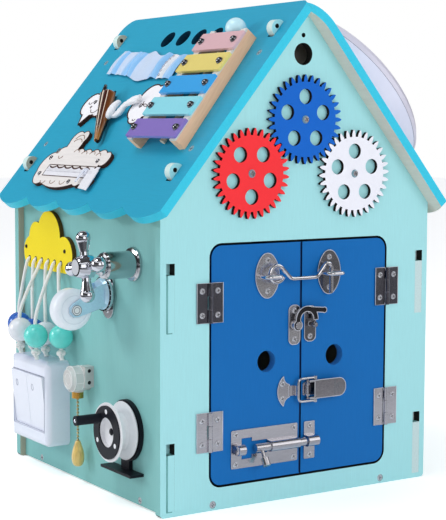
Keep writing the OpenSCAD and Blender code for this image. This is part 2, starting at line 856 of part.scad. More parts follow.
module bolt_guide() color([0.66, 0.65, 0.68]) front_frame(0, bolt_z) difference() {
  union() {
    translate([(bolt_x0 + bolt_x1) / 2, 0, 0]) linear_extrude(leaf_t) rrect(bolt_x1 - bolt_x0, bolt_h, 1.5);
    translate([bolt_x0 + bolt_strap_in, 0, 0]) barrel_shell(bolt_strap, bolt_r + 0.15);
    translate([bolt_win[1], 0, 0]) barrel_shell(bolt_x1 - 2 - bolt_win[1], bolt_r + 0.15);
  }
  translate([bolt_win[0], -bolt_win_h, -1]) cube([bolt_win[1] - bolt_win[0], 2 * bolt_win_h, 3]);
  translate([bolt_win[0], -bolt_wide_h, -1]) cube([bolt_wide, 2 * bolt_wide_h, 3]);
  for (x = [bolt_x0 + 5, bolt_x1 - 5], j = [-1, 1]) translate([x, j * bolt_screw, -1]) cylinder(r = pan_shank + fit, h = 9);
}

module bolt_rod() color([0.78, 0.78, 0.8]) front_frame(0, bolt_z) {
  translate([knob_x - bolt_tail, 0, bolt_out]) rotate([0, 90, 0])
    cylinder(r = bolt_r, h = bolt_tip - 1.5 - knob_x + bolt_tail);
  translate([bolt_tip - 1.5, 0, bolt_out]) rotate([0, 90, 0]) cylinder(r1 = bolt_r, r2 = bolt_r - 1.2, h = 1.5);
  translate([knob_x, 0, bolt_out]) rotate([knob_a, 0, 0]) {
    rod_z(1.9, 0, knob_l);
    rod_z(knob_r, knob_l - 2, knob_l + 6);
  }
}

module bolt_keeper() color([0.66, 0.65, 0.68]) front_frame(0, bolt_z) {
  translate([bolt_keep_x + bolt_keep_w / 2, 0, 0]) linear_extrude(leaf_t) difference() {
    rrect(bolt_keep_w, bolt_h, 1);
    for (j = [-1, 1]) translate([0, j * bolt_screw]) circle(pan_shank + fit);
  }
  translate([bolt_keep_x, 0, 0]) barrel_shell(bolt_keep_w, bolt_r + 0.3);
}

// Involute gear with five round windows
function inv_at(r) = tan(acos(gear_base / r)) * 180 / PI - acos(gear_base / r);
half_pitch = 90 / teeth - gear_back / gear_pitch_r * 90 / PI + inv_at(gear_pitch_r);
flank_r = [gear_root, gear_base, gear_base + (gear_tip - gear_base) * 0.35, gear_base + (gear_tip - gear_base) * 0.7,
  gear_tip];
function flank_a(r) = half_pitch - (r > gear_base ? inv_at(r) : 0);
gear_points = [for (t = [0:teeth - 1]) each concat(
  [for (i = [0:4]) let (a = t * tooth - flank_a(flank_r[i]), r = flank_r[i]) [r * cos(a), r * sin(a)]],
  [for (i = [4:-1:0]) let (a = t * tooth + flank_a(flank_r[i]), r = flank_r[i]) [r * cos(a), r * sin(a)]])];

module gear(phase, windows) translate([0, 0, gear_gap]) linear_extrude(gear_t) difference() {
  rotate(phase) polygon(gear_points);
  for (i = [0:4]) rotate(windows + i * 72) translate([0, gear_pitch_r * 0.55]) circle(gear_pitch_r * 0.185);
  circle(gear_bore);
}

module gear_red() color([0.93, 0.22, 0.24]) front_frame(red_at[0], red_at[1]) gear(phase_red, 180);

module gear_blue() color([0.1, 0.42, 0.8]) front_frame(0, gear_top_z) gear(0, 0);

module gear_white() color([0.95, 0.95, 0.98]) front_frame(white_at[0], white_at[1]) gear(phase_white, 0);

// Cloud with six cords and beads
module cloud() color([0.9, 0.82, 0.2]) difference() {
  left_frame(cloud_y, cloud_z) linear_extrude(cloud_t) {
    translate([0, 36]) circle(27);
    translate([-30, 33]) circle(17);
    translate([-43, 17]) circle(17);
    translate([36, 19]) circle(19);
    translate([-45, 0]) square([84, 34]);
    translate([-46, 11]) circle(11);
    translate([40, 12]) circle(12);
  }
  for (y = hole_y) left_frame(y, hole_z) rod_z(cord_hole_r, -1, cloud_t + 1);
  cloud_marks() pan_hole();
}

// Tube swept along points, as one closed surface with its own radius at each point
module tube(p, r, sides = 8, across = [0.13, 0.98, 0.15]) {
  n = len(p);
  dir = [for (i = [0:n - 1]) let (d = p[min(i + 1, n - 1)] - p[max(i - 1, 0)]) d / norm(d)];
  side = [for (i = [0:n - 1]) let (s = cross(dir[i], across)) s / norm(s)];
  pts = [for (i = [0:n - 1], k = [0:sides - 1]) let (a = 360 * k / sides)
    p[i] + r[i] * (cos(a) * side[i] + sin(a) * cross(dir[i], side[i]))];
  sides_f = [for (i = [0:n - 2], k = [0:sides - 1]) let (k2 = (k + 1) % sides)
    [i * sides + k, (i + 1) * sides + k, (i + 1) * sides + k2, i * sides + k2]];
  cap_a = [for (k = [0:sides - 1]) k];
  cap_b = [for (k = [sides - 1:-1:0]) (n - 1) * sides + k];
  polyhedron(pts, concat(sides_f, [cap_a, cap_b]));
}

// Each cord leaves its hole, runs down through its bead and ends in a knot
module cloud_cords() color([0.93, 0.93, 0.92]) {
  for (i = [0:5]) {
    b = bead_at[i];
    y = hole_y[i];
    low = b[2] - bead_r;
    route = [[-y, hole_z, 0.6], [-y, hole_z, 4.4], [-y + (y - b[1]) * 0.03, hole_z - 2, 7.2],
      [-y + (y - b[1]) * 0.12, hole_z - 8, 8.2 + (b[0] - 8) * 0.08],
      [-y + (y - b[1]) * 0.5, (hole_z + b[2]) / 2 + 6, 9 + (b[0] - 9) * 0.55],
      [-b[1], b[2] + bead_r + 6, b[0]], [-b[1], low - 0.6, b[0]], [-b[1], low - 1.6, b[0]], [-b[1], low - 4.5, b[0]],
      [-b[1], low - 8, b[0]], [-b[1] + 0.5, low - 10, b[0]]];
    left_frame() tube(route, [cord_r, cord_r, cord_r, cord_r, cord_r, cord_r, cord_r, 3.4, 4.3, 3.2, 1.6]);
  }
}

module cloud_beads() color([0.4, 0.8, 0.82]) {
  for (b = bead_at) left_frame(b[1], b[2]) translate([0, 0, b[0]]) difference() {
    sphere(bead_r);
    translate([0, bead_r + 1, 0]) rotate([90, 0, 0]) cylinder(r = bead_bore, h = 2 * bead_r + 2);
  }
}

// Tap: flanged barrel and four-arm handle
module tap_body() color([0.82, 0.84, 0.86]) left_frame(tap_y, tap_z) rotate_extrude()
  polygon([[0, 0], [16.5, 0], [16.5, 2.4], [15.6, 3.6], [13.2, 4.4], [13.2, 32], [12.2, 34], [9.6, 34.6], [9.6, 37],
    [6.5, 38.5], [6.5, 42.5], [3.4, 42.5], [3.4, 52], [0, 52]]);

module tap_arm() {
  rod_z(4.2, 0, tap_reach - 12);
  translate([0, 0, tap_reach - 20]) cylinder(r1 = 4.2, r2 = 6.6, h = 11);
  translate([0, 0, tap_reach - 7.2]) sphere(7.2);
}

module tap_handle() color([0.85, 0.87, 0.89]) left_frame(tap_y, tap_z) rotate([0, 0, tap_turn]) {
  difference() {
    union() {
      rotate_extrude() polygon([[0, 43], [8.4, 43], [11, 46], [11.6, 52], [10.8, 57], [9.4, 61], [8.6, 62.2], [0, 62.2]]);
      for (a = [0:90:270]) translate([0, 0, tap_hub]) rotate([0, 90, a]) tap_arm();
    }
    rod_z(3.4 + fit, 40, 52 + fit);
    rod_z(7.4, 61.4, 64);
  }
  rod_z(7.3, 61.4 + eps, 62.8);
}

// Caster: oblong wall plate with race, fork with axle, and wheel
module caster_plate() color([0.72, 0.75, 0.78]) left_frame(cast_y, cast_z) {
  linear_extrude(2) difference() {
    stadium(22, 50);
    for (s = [-1, 1]) translate([0, s * 17]) circle(pan_shank + fit);
  }
  rod_z(13, 2 - eps, 4);
  rod_z(4, 2, 12);
  rod_z(6.5, 11.8, 13.4);
}

module caster_fork() color([0.72, 0.78, 0.82]) left_frame(cast_y, cast_z) {
  difference() {
    union() {
      rotate_extrude() polygon([[4.05, 4.2], [17, 4.2], [17, 6.4], [15.5, 9], [14, 11.4], [4.05, 11.4]]);
      for (s = [-1, 1]) difference() {
        translate([s * arm_y - (s > 0 ? 0 : arm_t), 0, 0]) rotate([90, 0, 90]) linear_extrude(arm_t)
          polygon([[-11, 8.6], [11, 8.6], [9, 18], [-cast_trail + 6.4, cast_off + 3], [-cast_trail + 3, cast_off + 6.3],
            [-cast_trail - 3, cast_off + 6.3], [-cast_trail - 6.8, cast_off + 2.4], [-cast_trail - 6.8, cast_off - 3]]);
        translate([-20, -cast_trail, cast_off]) rotate([0, 90, 0]) cylinder(r = 3 + fit, h = 40);
      }
    }
    rod_z(6.8, 11.6, 16);
  }
  translate([-arm_y - arm_t - 2, -cast_trail, cast_off]) rotate([0, 90, 0]) cylinder(r = 3, h = 2 * (arm_y + arm_t + 2));
  for (s = [-1, 1]) translate([s * (arm_y + arm_t) - (s > 0 ? 0 : 2), -cast_trail, cast_off]) rotate([0, 90, 0])
    difference() {
      cylinder(r = 4.8, h = 2);
      translate([0, 0, -1]) cylinder(r = 3 - eps, h = 4);
    }
}

module caster_wheel() color([0.9, 0.92, 0.95]) left_frame(cast_y, cast_z) translate([0, -cast_trail, cast_off])
  rotate([0, 90, 0]) rotate_extrude() {
    difference() {
      translate([3 + fit, -wheel_t / 2]) square([wheel_r - 3 - fit, wheel_t]);
      for (s = [-1, 1]) translate([wheel_r, s * wheel_t / 2]) rotate(s > 0 ? 0 : -90) corner_cut(5);
    }
  }

// Light switch with two rockers on one pivot bar
module soft_box(w, h, d, r) {
  intersection() {
    linear_extrude(d) rrect(w, h, r);
    translate([0, h / 2, 0]) rotate([90, 0, 0]) linear_extrude(h) rrect(w, 2 * d, r);
    translate([-w / 2, 0, 0]) rotate([90, 0, 90]) linear_extrude(w) rrect(h, 2 * d, r);
  }
}

module switch_box() color([0.9, 0.91, 0.96]) left_frame(sw_y, sw_z) {
  difference() {
    soft_box(sw_w, sw_h, switch_deep, 7);
    translate([0, 0, -1]) linear_extrude(switch_deep - sw_pocket_deep - 2) rrect(sw_w - 6, sw_h - 6, 4);
    translate([0, 0, switch_deep - sw_pocket_deep]) linear_extrude(20) rrect(sw_pocket_w, sw_pocket_h, 1);
  }
  translate([-sw_pocket_w / 2 - 1, 0, rock_axis]) rotate([0, 90, 0]) cylinder(r = 1.4, h = sw_pocket_w + 2);
}

module rocker() {
  w = sw_pocket_w / 2 - 0.6;
  translate([0, 0, rock_axis]) rotate([rock_tilt, 0, 0]) difference() {
    translate([-w / 2, -sw_pocket_h / 2 + 0.5, -rock_t / 2]) cube([w, sw_pocket_h - 1, rock_t]);
    translate([-w, 0, 0]) rotate([0, 90, 0]) cylinder(r = 1.4 + fit, h = 2 * w);
  }
}

module rocker_left() color([0.92, 0.93, 0.97]) left_frame(sw_y + sw_pocket_w / 4, sw_z) rocker();

module rocker_right() color([0.92, 0.93, 0.97]) left_frame(sw_y - sw_pocket_w / 4, sw_z) rocker();

// Pull switch: clear drum with terminal block, collar, chain and bob
module pull_switch_body() color([0.85, 0.88, 0.86]) left_frame(pull_y, pull_z) {
  difference() {
    union() {
      cylinder(r = pull_r, h = 19);
      translate([0, 0, 19]) cylinder(r1 = pull_r, r2 = pull_r - 3, h = 3);
      translate([2, -8, 0]) cube([12.5, 21.5, 10]);
      translate([0, -10, pull_out]) rotate([90, 0, 0]) cylinder(r = 6.4, h = pull_z - collar_z - 10 - 6.4);
    }
    translate([0, 4, pull_out]) rotate([90, 0, 0]) cylinder(r = chain_r + 0.4, h = 40);
    for (z = [-3, 9]) translate([8, z, 5]) rotate([0, 90, 0]) cylinder(r = 2, h = 10);
  }
  difference() {
    translate([0, collar_z - pull_z + 6.4 - eps, pull_out]) rotate([90, 0, 0]) cylinder(r = 6, h = 6.4);
    translate([0, 4, pull_out]) rotate([90, 0, 0]) cylinder(r = chain_r + 0.4, h = 40);
  }
}

module pull_chain() color([0.75, 0.6, 0.3]) left_frame(pull_y, 0) translate([0, 0, pull_out]) rotate([-90, 0, 0]) {
  rod_z(chain_r, bob_top - 0.5, pull_z + 1);
  rotate_extrude() polygon([[0, bob_low], [3.4, bob_low + 0.6], [5.6, bob_low + 3], [6.6, bob_low + 7],
    [6.4, bob_low + 12], [4.8, bob_low + 19], [3, bob_low + 24], [2.6, bob_top], [0, bob_top]]);
}

// Reel: wall plate with foot and axle, spool with crank ring and knob
module reel_frame() color([0.1, 0.11, 0.14]) left_frame(reel_y, reel_z) {
  cylinder(r = reel_r + 1, h = 4);
  rod_z(reel_axle, 4 - eps, reel_front - 5);
  translate([-8, -reel_r - 9, 0]) cube([16, 14, 4]);
  translate([-30, -reel_r - 11.4, 0]) cube([60, 2.6, 15]);
}

module reel_spool() color([0.93, 0.93, 0.94]) left_frame(reel_y, reel_z) {
  difference() {
    rotate_extrude() polygon([[reel_axle + fit, 5], [reel_r - 1, 5], [reel_r - 0.4, 6.2], [reel_r - 2, 7.4], [19, 9.5],
      [18, 13], [19, 19], [reel_r - 2, 21], [reel_r, 22.2], [reel_r - 0.4, reel_front], [14, reel_front], [13.2, 20.5],
      [6, 18.8], [reel_axle + fit, 18.8]]);
  }
  difference() {
    rod_z(reel_r - 3, reel_front + eps, reel_front + 1.4);
    rod_z(14.6, reel_front - 1, reel_front + 3);
  }
  translate([-knob_y, knob_z, 0]) rod_z(4.8, reel_front + 1.4 - eps, reel_front + 28);
}

// Xylophone: two rails with felt, five bars, dome studs, and the mallet behind
module rail_plan(s) {
  u = (rail_u0 + rail_u1) / 2;
  l = rail_u1 - rail_u0;
  translate([-xyl_y, -u]) translate([s * (rail_mid + 4.85 - 0.1), 0]) rotate(s * rail_skew)
    square([rail_w, l], center = true);
}

module xylophone_rails() color([0.93, 0.8, 0.66]) difference() {
  roof_frame() {
    for (s = [-1, 1]) linear_extrude(rail_h) rail_plan(s);
    for (s = [-1, 1]) translate([0, 0, rail_h + eps]) linear_extrude(felt_t - 2 * eps) rail_plan(s);
  }
  stud_marks() translate([0, 0, rail_h + felt_t]) rod_z(pan_shank + fit, -30, 3);
}

// Stud places, over each rail at each bar
module stud_marks() {
  for (i = [0:4], s = [-1, 1]) {
    mid_u = (rail_u0 + rail_u1) / 2;
    roof_frame(bar_u[i], xyl_y - s * (rail_mid + 4.75 + (bar_u[i] - mid_u) * tan(rail_skew))) children();
  }
}

module xylophone_bars() color([0.55, 0.72, 0.85]) difference() {
  for (i = [0:4]) roof_frame(bar_u[i], xyl_y) translate([0, 0, rail_h + felt_t]) linear_extrude(bar_t)
    rrect(bar_len[i], bar_w, 1.5);
  stud_marks() translate([0, 0, rail_h + felt_t]) rod_z(pan_shank + 0.3, -1, 6);
}

module xylophone_studs() color([0.85, 0.85, 0.87]) stud_marks() {
  rod_z(pan_shank, -4.5, rail_h + felt_t + bar_t + 0.3);
  translate([0, 0, rail_h + felt_t + bar_t]) intersection() {
    sphere(stud_r);
    translate([0, 0, 5]) cube(10, center = true);
  }
}

module mallet() color([0.75, 0.9, 0.96]) roof_frame(ball_u, mallet_y) translate([0, 0, ball_r + 0.4]) {
  sphere(ball_r);
  rotate([90 + stick_drop, 0, 0]) rod_z(stick_r, 0, stick_len);
}

// Gathered ribbon: a strip of standing pleats
ribbon_n = 44;
ribbon_w = 152;
ribbon_h = 37;
ribbon_turn = -5;
ribbon_at = [73, 208];
function pleat(i) = 3.4 + 2.2 * sin(i * 90 + 45) + 0.6 * sin(i * 37);
module ribbon() color([0.68, 0.8, 0.95]) roof_frame(ribbon_at[0], ribbon_at[1]) rotate([0, 0, ribbon_turn]) {
  xs = [for (i = [0:ribbon_n]) -ribbon_w / 2 + ribbon_w * i / ribbon_n];
  top = [for (i = [0:ribbon_n]) [xs[i], pleat(i) + 0.6]];
  low = [for (i = [ribbon_n:-1:0]) [xs[i], pleat(i) - 0.6]];
  translate([0, ribbon_h / 2, 0]) rotate([90, 0, 0]) linear_extrude(ribbon_h) polygon(concat(top, low));
}

// Plywood figure with a zip mouth: rounds given as distance down the slope, depth and radius
zip_rounds = [[214, 260, 17], [205, 245, 16], [202, 225, 14], [202, 207, 11], [203, 190, 11.5], [202.5, 173, 11],
  [203.5, 157, 12], [203, 144, 9], [179, 236, 11], [176, 223, 8.5], [186, 231, 15], [223, 257, 17], [228, 152, 11],
  [226, 168, 13]];
belly_low = 243;
belly_y = 212;
belly_r = 120;
slot_u = [213.5, 228];
slot_y = [130, 255];
tape_t = 0.7;
zip_u = (slot_u[0] + slot_u[1]) / 2;
slider_y = 163;
zip_screw_at = [[204.5, 264], [226, 264], [206, 156], [234, 186]];

module zip_marks() {
  for (p = zip_screw_at) roof_frame(p[0], p[1]) children();
}

module zip_figure() color([0.88, 0.85, 0.82]) {
  difference() {
    roof_frame() linear_extrude(fig_t) difference() {
      union() {
        for (c = zip_rounds) translate([-c[1], -c[0]]) circle(c[2]);
        translate([-258, -214]) square([110, 14]);
        intersection() {
          translate([-258, -245]) square([106, 23.5]);
          translate([-belly_y, belly_r - belly_low]) circle(belly_r);
        }
      }
      translate([-slot_y[1], -slot_u[1]]) square([slot_y[1] - slot_y[0], slot_u[1] - slot_u[0]]);
    }
    zip_marks() pan_hole();
  }
  roof_frame() translate([0, 0, fig_t - tape_t + 2 * eps]) {
    translate([fit - slot_y[1], fit - slot_u[1], 0])
      cube([slot_y[1] - 142, slot_u[1] - slot_u[0] - 2 * fit, tape_t]);
    translate([-slot_y[1] + 2, -zip_u - 1.2, 0]) cube([slot_y[1] - 152, 2.4, tape_t + 0.9]);
    translate([0, 0, tape_t]) linear_extrude(tape_t)
      polygon([[-158, -slot_u[0] - 1], [-139, -218], [-136, -243], [-156, -241], [-158, -slot_u[1]]]);
  }
}

module zip_slider() color([0.75, 0.75, 0.78]) roof_frame(zip_u, slider_y) translate([0, 0, fig_t]) {
  for (s = [-1, 1]) translate([-4, s * 2.35 - 0.85, 0.3]) cube([8, 1.7, 1.2]);
  translate([-4, -3.2, 1.3]) cube([8, 6.4, 1.3]);
  translate([-2.4, -1.4, 2.5]) cube([4.8, 2.8, 1.6]);
  translate([-2, -15, 3.2]) cube([4, 15, 0.8]);
}

// White plywood figure in two plates
white_rounds = [[130, 264, 15], [131, 247, 14.5], [136, 235, 11], [122, 146, 17], [133, 150, 18.5], [142, 144, 15],
  [121, 131, 15], [132, 128, 16]];
white_screw_at = [[127, 256], [133, 150]];

module white_marks() {
  for (p = white_screw_at) roof_frame(p[0], p[1]) children();
}

module white_figure() color([0.94, 0.93, 0.95]) difference() {
  roof_frame() linear_extrude(fig_t) {
    for (c = white_rounds) translate([-c[1], -c[0]]) circle(c[2]);
    polygon([[-268, -138], [-258, -159], [-246, -142]]);
  }
  white_marks() pan_hole();
}

// Soft braid between the two plates, as across, up the slope and out
braid_r = 4;
braid_route = [[-198, -143, 7.4], [-192, -145.5, 5.2], [-186, -145, 4.8], [-180, -141, 6], [-174, -136, 8.4],
  [-167, -132, 9], [-160, -129, 8.9], [-153, -127, 8.6]];
module braid() color([0.95, 0.96, 0.98]) roof_frame()
  tube(braid_route, [3.2, 3.8, braid_r, braid_r, braid_r, braid_r, 3.8, 3.2], 10);

// Hair clip: sprung jaw over a flat base, both tapering to the tip
clip_len = 70;
clip_w = 7;
clip_low = fig_t;
clip_rise = 9;
clip_pin = [-9, 8];
clip_at = [124, 222];
clip_turn = 34;
clip_span = 40;
module clip_plan(w) {
  polygon([[-w, 0], [w, 0], [w * 0.86, -clip_len * 0.5], [w * 0.42, -clip_len + 2], [-w * 0.42, -clip_len + 2],
    [-w * 0.86, -clip_len * 0.5]]);
  translate([0, -clip_len + 2]) circle(w * 0.45);
}

module clip_place() {
  roof_frame(clip_at[0], clip_at[1]) rotate([0, 0, clip_turn]) translate([0, 0, clip_low]) children();
}

module clip_base() color([0.2, 0.18, 0.18]) clip_place() {
  linear_extrude(1.6) clip_plan(clip_w);
  translate([-3, -1, 0]) cube([6, 13, 1.6]);
  for (s = [-1, 1]) translate([s * (clip_w - 2.6) - 0.6, clip_pin[0] - 3, 0.8]) cube([1.2, 6, clip_pin[1] + 1.2]);
  translate([-clip_w, clip_pin[0], clip_pin[1]]) rotate([0, 90, 0]) cylinder(r = 0.9, h = 2 * clip_w);
}

// Side profile of the jaw, falling from the hinge end to the tip
module jaw_profile() {
  polygon([[12, 11], [12, 13.4], [-2, clip_rise + 4.4], [-14, clip_rise + 3.4], [-clip_len, 4.6], [-clip_len, 2.2],
    [-clip_len + 8, 2.2], [-16, clip_rise], [-3, clip_rise + 1]]);
}

module clip_jaw() color([0.45, 0.2, 0.05]) clip_place() difference() {
  union() {
    intersection() {
      translate([-clip_span / 2, 0, 0]) rotate([90, 0, 90]) linear_extrude(clip_span) jaw_profile();
      union() {
        linear_extrude(30) clip_plan(clip_w);
        translate([-3, -1, 0]) cube([6, 14, 30]);
      }
    }
    for (s = [-1, 1]) translate([s * (clip_w - 0.9) - 0.6, clip_pin[0] - 3, clip_pin[1] - 2.4]) cube([1.2, 6, 6]);
  }
  translate([-clip_span / 2, clip_pin[0], clip_pin[1]]) rotate([0, 90, 0]) cylinder(r = 0.9 + fit, h = clip_span);
  for (s = [-1, 1]) translate([s * (clip_w - 2.6), clip_pin[0], clip_pin[1]]) rotate([0, 90, 0])
    cylinder(r = 5, h = 1.8, center = true);
}

// Round clock: case, dial and two hands
module clock_case() color([0.92, 0.93, 0.98]) roof_frame_right(clock_u, clock_y) {
  rotate_extrude() polygon([[0, dial_low - 3], [clock_r - 5, dial_low - 3], [clock_r - 5, 0], [clock_r - 2, 0], [clock_r, 2], [clock_r, clock_deep - 12], [clock_r - 1.5, clock_deep - 6],
    [clock_r - 5, clock_deep - 1.5], [clock_r - 8, clock_deep], [clock_r - bezel_w, clock_deep - 2],
    [clock_r - bezel_w - 2, dial_low], [0, dial_low]]);
  rod_z(2, dial_low - eps, dial_low + 6);
}

module hand(l, w, low) {
  difference() {
    translate([0, 0, dial_low + low]) linear_extrude(1) {
      circle(5);
      translate([-w / 2, -8]) square([w, l + 8]);
    }
    rod_z(2 + fit, 0, dial_low + 10);
  }
}

module hour_hand() color([0.15, 0.15, 0.18]) roof_frame_right(clock_u, clock_y) rotate([0, 0, 55]) hand(48, 6, 1.2);

module minute_hand() color([0.15, 0.15, 0.18]) roof_frame_right(clock_u, clock_y) rotate([0, 0, -60]) hand(74, 4, 3.2);

front_panel();
back_panel();
left_wall();
right_wall();
floor_panel();
roof_left();
roof_right();
house_screws();
hinge_frame_leaves();
left_door();
left_hinge_leaves();
left_door_screws();
right_door();
right_hinge_leaves();
right_door_screws();
cabin_hook_staple();
cabin_hook();
cabin_hook_eye();
swing_latch_plate();
swing_latch_arm();
swing_latch_catch();
toggle_keeper();
toggle_base();
toggle_lever();
toggle_bail();
bolt_guide();
bolt_rod();
bolt_keeper();
gear_red();
gear_blue();
gear_white();
cloud();
cloud_cords();
cloud_beads();
tap_body();
tap_handle();
caster_plate();
caster_fork();
caster_wheel();
switch_box();
rocker_left();
rocker_right();
pull_switch_body();
pull_chain();
reel_frame();
reel_spool();
xylophone_rails();
xylophone_bars();
xylophone_studs();
mallet();
ribbon();
zip_figure();
zip_slider();
white_figure();
braid();
clip_base();
clip_jaw();
clock_case();
hour_hand();
minute_hand();
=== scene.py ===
import math
import bpy
import numpy as np
from mathutils import Matrix, Vector


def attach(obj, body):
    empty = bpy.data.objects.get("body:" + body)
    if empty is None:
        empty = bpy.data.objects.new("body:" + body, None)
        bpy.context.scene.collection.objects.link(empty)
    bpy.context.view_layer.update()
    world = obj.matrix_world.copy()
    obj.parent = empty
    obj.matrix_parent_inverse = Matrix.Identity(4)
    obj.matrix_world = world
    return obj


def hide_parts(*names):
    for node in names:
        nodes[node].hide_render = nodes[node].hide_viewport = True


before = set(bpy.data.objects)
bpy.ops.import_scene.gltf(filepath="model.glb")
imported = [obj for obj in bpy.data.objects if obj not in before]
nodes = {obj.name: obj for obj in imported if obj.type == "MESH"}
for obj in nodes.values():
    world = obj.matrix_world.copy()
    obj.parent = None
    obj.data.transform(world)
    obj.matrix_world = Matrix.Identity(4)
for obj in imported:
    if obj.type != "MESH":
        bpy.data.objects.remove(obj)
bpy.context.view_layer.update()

# Sizes shared with the solids, in millimetres
WALL = 153.5
APEX = 480.0
EAVE = 288.0
HALF_W = 160.0
ROOF_T = 9.0
SLOPE = math.atan2(APEX - EAVE, HALF_W)
COS = math.cos(SLOPE)
SIN = math.sin(SLOPE)
TURN = 2 * math.pi

# Directions, and the middle of the ridge
OUT = np.array([-1.0, 0.0, 0.0])
BACK = np.array([0.0, 1.0, 0.0])
FRONT = np.array([0.0, -1.0, 0.0])
UPRIGHT = np.array([0.0, 0.0, 1.0])
ROOF_OUT = np.array([-SIN, 0.0, COS])
ROOF_DOWN = np.array([-COS, 0.0, -SIN])
UPHILL = np.array([COS, 0.0, SIN])
FAR_OUT = np.array([SIN, 0.0, COS])
FAR_DOWN = np.array([COS, 0.0, -SIN])
RIDGE = np.array([0.0, 0.0, APEX])


# Points measured from the left wall, the left roof and the far roof
def wall_point(off, y, z):
    return np.array([-WALL - off, y, z])


def roof_point(u, y, n):
    h = n + ROOF_T
    return np.array([-u * COS - h * SIN, y, APEX - u * SIN + h * COS])


def far_point(u, y, n):
    h = n + ROOF_T
    return np.array([u * COS + h * SIN, y, APEX - u * SIN + h * COS])


def place(name, data):
    ob = bpy.data.objects.new(name, data)
    bpy.context.scene.collection.objects.link(ob)
    return ob


# Camera, fitted to the photo
YAW = 0.572
PITCH = 0.091
ROLL = 0.004
CAMERA_AT = (-0.83258, -1.15127, 0.36737)
SENSOR = 36.0
LENS = 100.85
SHIFT = -0.005
FAR_CLIP = 50.0
right = np.array([math.cos(YAW), -math.sin(YAW), 0.0])
ahead = np.array([math.sin(YAW) * math.cos(PITCH), math.cos(YAW) * math.cos(PITCH), -math.sin(PITCH)])
above = np.cross(right, ahead)
cam_x = math.cos(ROLL) * right + math.sin(ROLL) * above
cam_y = math.cos(ROLL) * above - math.sin(ROLL) * right
cam = bpy.data.cameras.new("camera")
cam.sensor_width = SENSOR
cam.lens = LENS
cam.shift_y = SHIFT
cam.clip_end = FAR_CLIP
cam_obj = place("camera", cam)
turn = Matrix([list(cam_x), list(cam_y), list(-ahead)]).transposed()
cam_obj.matrix_world = Matrix.Translation(Vector(CAMERA_AT)) @ turn.to_4x4()
bpy.context.scene.camera = cam_obj
bpy.context.scene.view_settings.view_transform = "Standard"


# A screen colour from 0 to 255 as linear light, by the sRGB curve
def rgba(c):
    v = np.array(c, float) / 255.0
    v = np.where(v <= 0.04045, v / 12.92, ((v + 0.055) / 1.055) ** 2.4)
    return [float(x) for x in v] + [1.0]


def add_node(tree, kind, values=()):
    node = tree.new("ShaderNode" + kind)
    for key, value in dict(values).items():
        node.inputs[key].default_value = value
    return node


def wire(owner, links):
    for a, out, b, into in links:
        owner.node_tree.links.new(a.outputs[out], b.inputs[into])


def set_stops(ramp, stops):
    band = ramp.color_ramp.elements
    for stop, (at, colour) in zip((band[0], band[1]), (stops[0], stops[-1])):
        stop.position = at
        stop.color = colour
    for at, colour in stops[1:-1]:
        band.new(at).color = colour


# Sockets of a colour mix
MIX_A = 6
MIX_B = 7
MIX_OUT = 2


def colour_mix(tree, values=()):
    mix = tree.new("ShaderNodeMix")
    mix.data_type = "RGBA"
    for key, value in dict(values).items():
        mix.inputs[key].default_value = value
    return mix


GLOSSY = 0.5
MATT = 0.15
DETAIL = 5.0
DETAIL_SHARE = 0.6
DARK_FROM = 0.3
PALE_FROM = 0.7
PALE_SHARE = 0.6
BUMP_DEEP = 0.0006
EDGE_SAMPLES = 6


# A procedural material: vary mottles, bump roughens, grain stretches the noise, edge rounds the corners
def surface(name, colour, rough=0.5, metal=0.0, grain=(1.0, 1.0, 1.0), vary=0.0, bump=0.0, fine=900.0,
            edge=0.0, tilt=0.0, coat=0.0, **more):
    m = bpy.data.materials.new(name)
    m.use_nodes = True
    tree = m.node_tree.nodes
    p = tree["Principled BSDF"]
    base = rgba(colour)
    level = GLOSSY if metal or coat else MATT
    values = {"Base_Color": base, "Roughness": rough, "Metallic": metal, "Specular_IOR_Level": level,
              "Coat_Weight": coat, **more}
    for key, value in values.items():
        p.inputs[key.replace("_", " ")].default_value = value
    under = p
    if vary or bump:
        where = add_node(tree, "TexCoord")
        stretch = add_node(tree, "Mapping")
        stretch.vector_type = "TEXTURE"
        stretch.inputs["Rotation"].default_value = (0.0, tilt, 0.0)
        stretch.inputs["Scale"].default_value = [1.0 / g for g in grain]
        noise = add_node(tree, "TexNoise", {"Scale": fine, "Detail": DETAIL, "Roughness": DETAIL_SHARE})
        wire(m, [(where, "Object", stretch, "Vector"), (stretch, "Vector", noise, "Vector")])
        if vary:
            ramp = add_node(tree, "ValToRGB")
            dark = [x * (1.0 - vary) for x in base[:3]] + [1.0]
            pale = [min(1.0, x * (1.0 + PALE_SHARE * vary)) for x in base[:3]] + [1.0]
            set_stops(ramp, [(DARK_FROM, dark), (PALE_FROM, pale)])
            wire(m, [(noise, "Fac", ramp, "Fac"), (ramp, "Color", p, "Base Color")])
        if bump:
            lift = add_node(tree, "Bump", {"Strength": bump, "Distance": BUMP_DEEP})
            wire(m, [(noise, "Fac", lift, "Height"), (lift, "Normal", p, "Normal")])
            under = lift
    if edge:
        bevel = add_node(tree, "Bevel", {"Radius": edge})
        bevel.samples = EDGE_SAMPLES
        wire(m, [(bevel, "Normal", under, "Normal")])
    return m


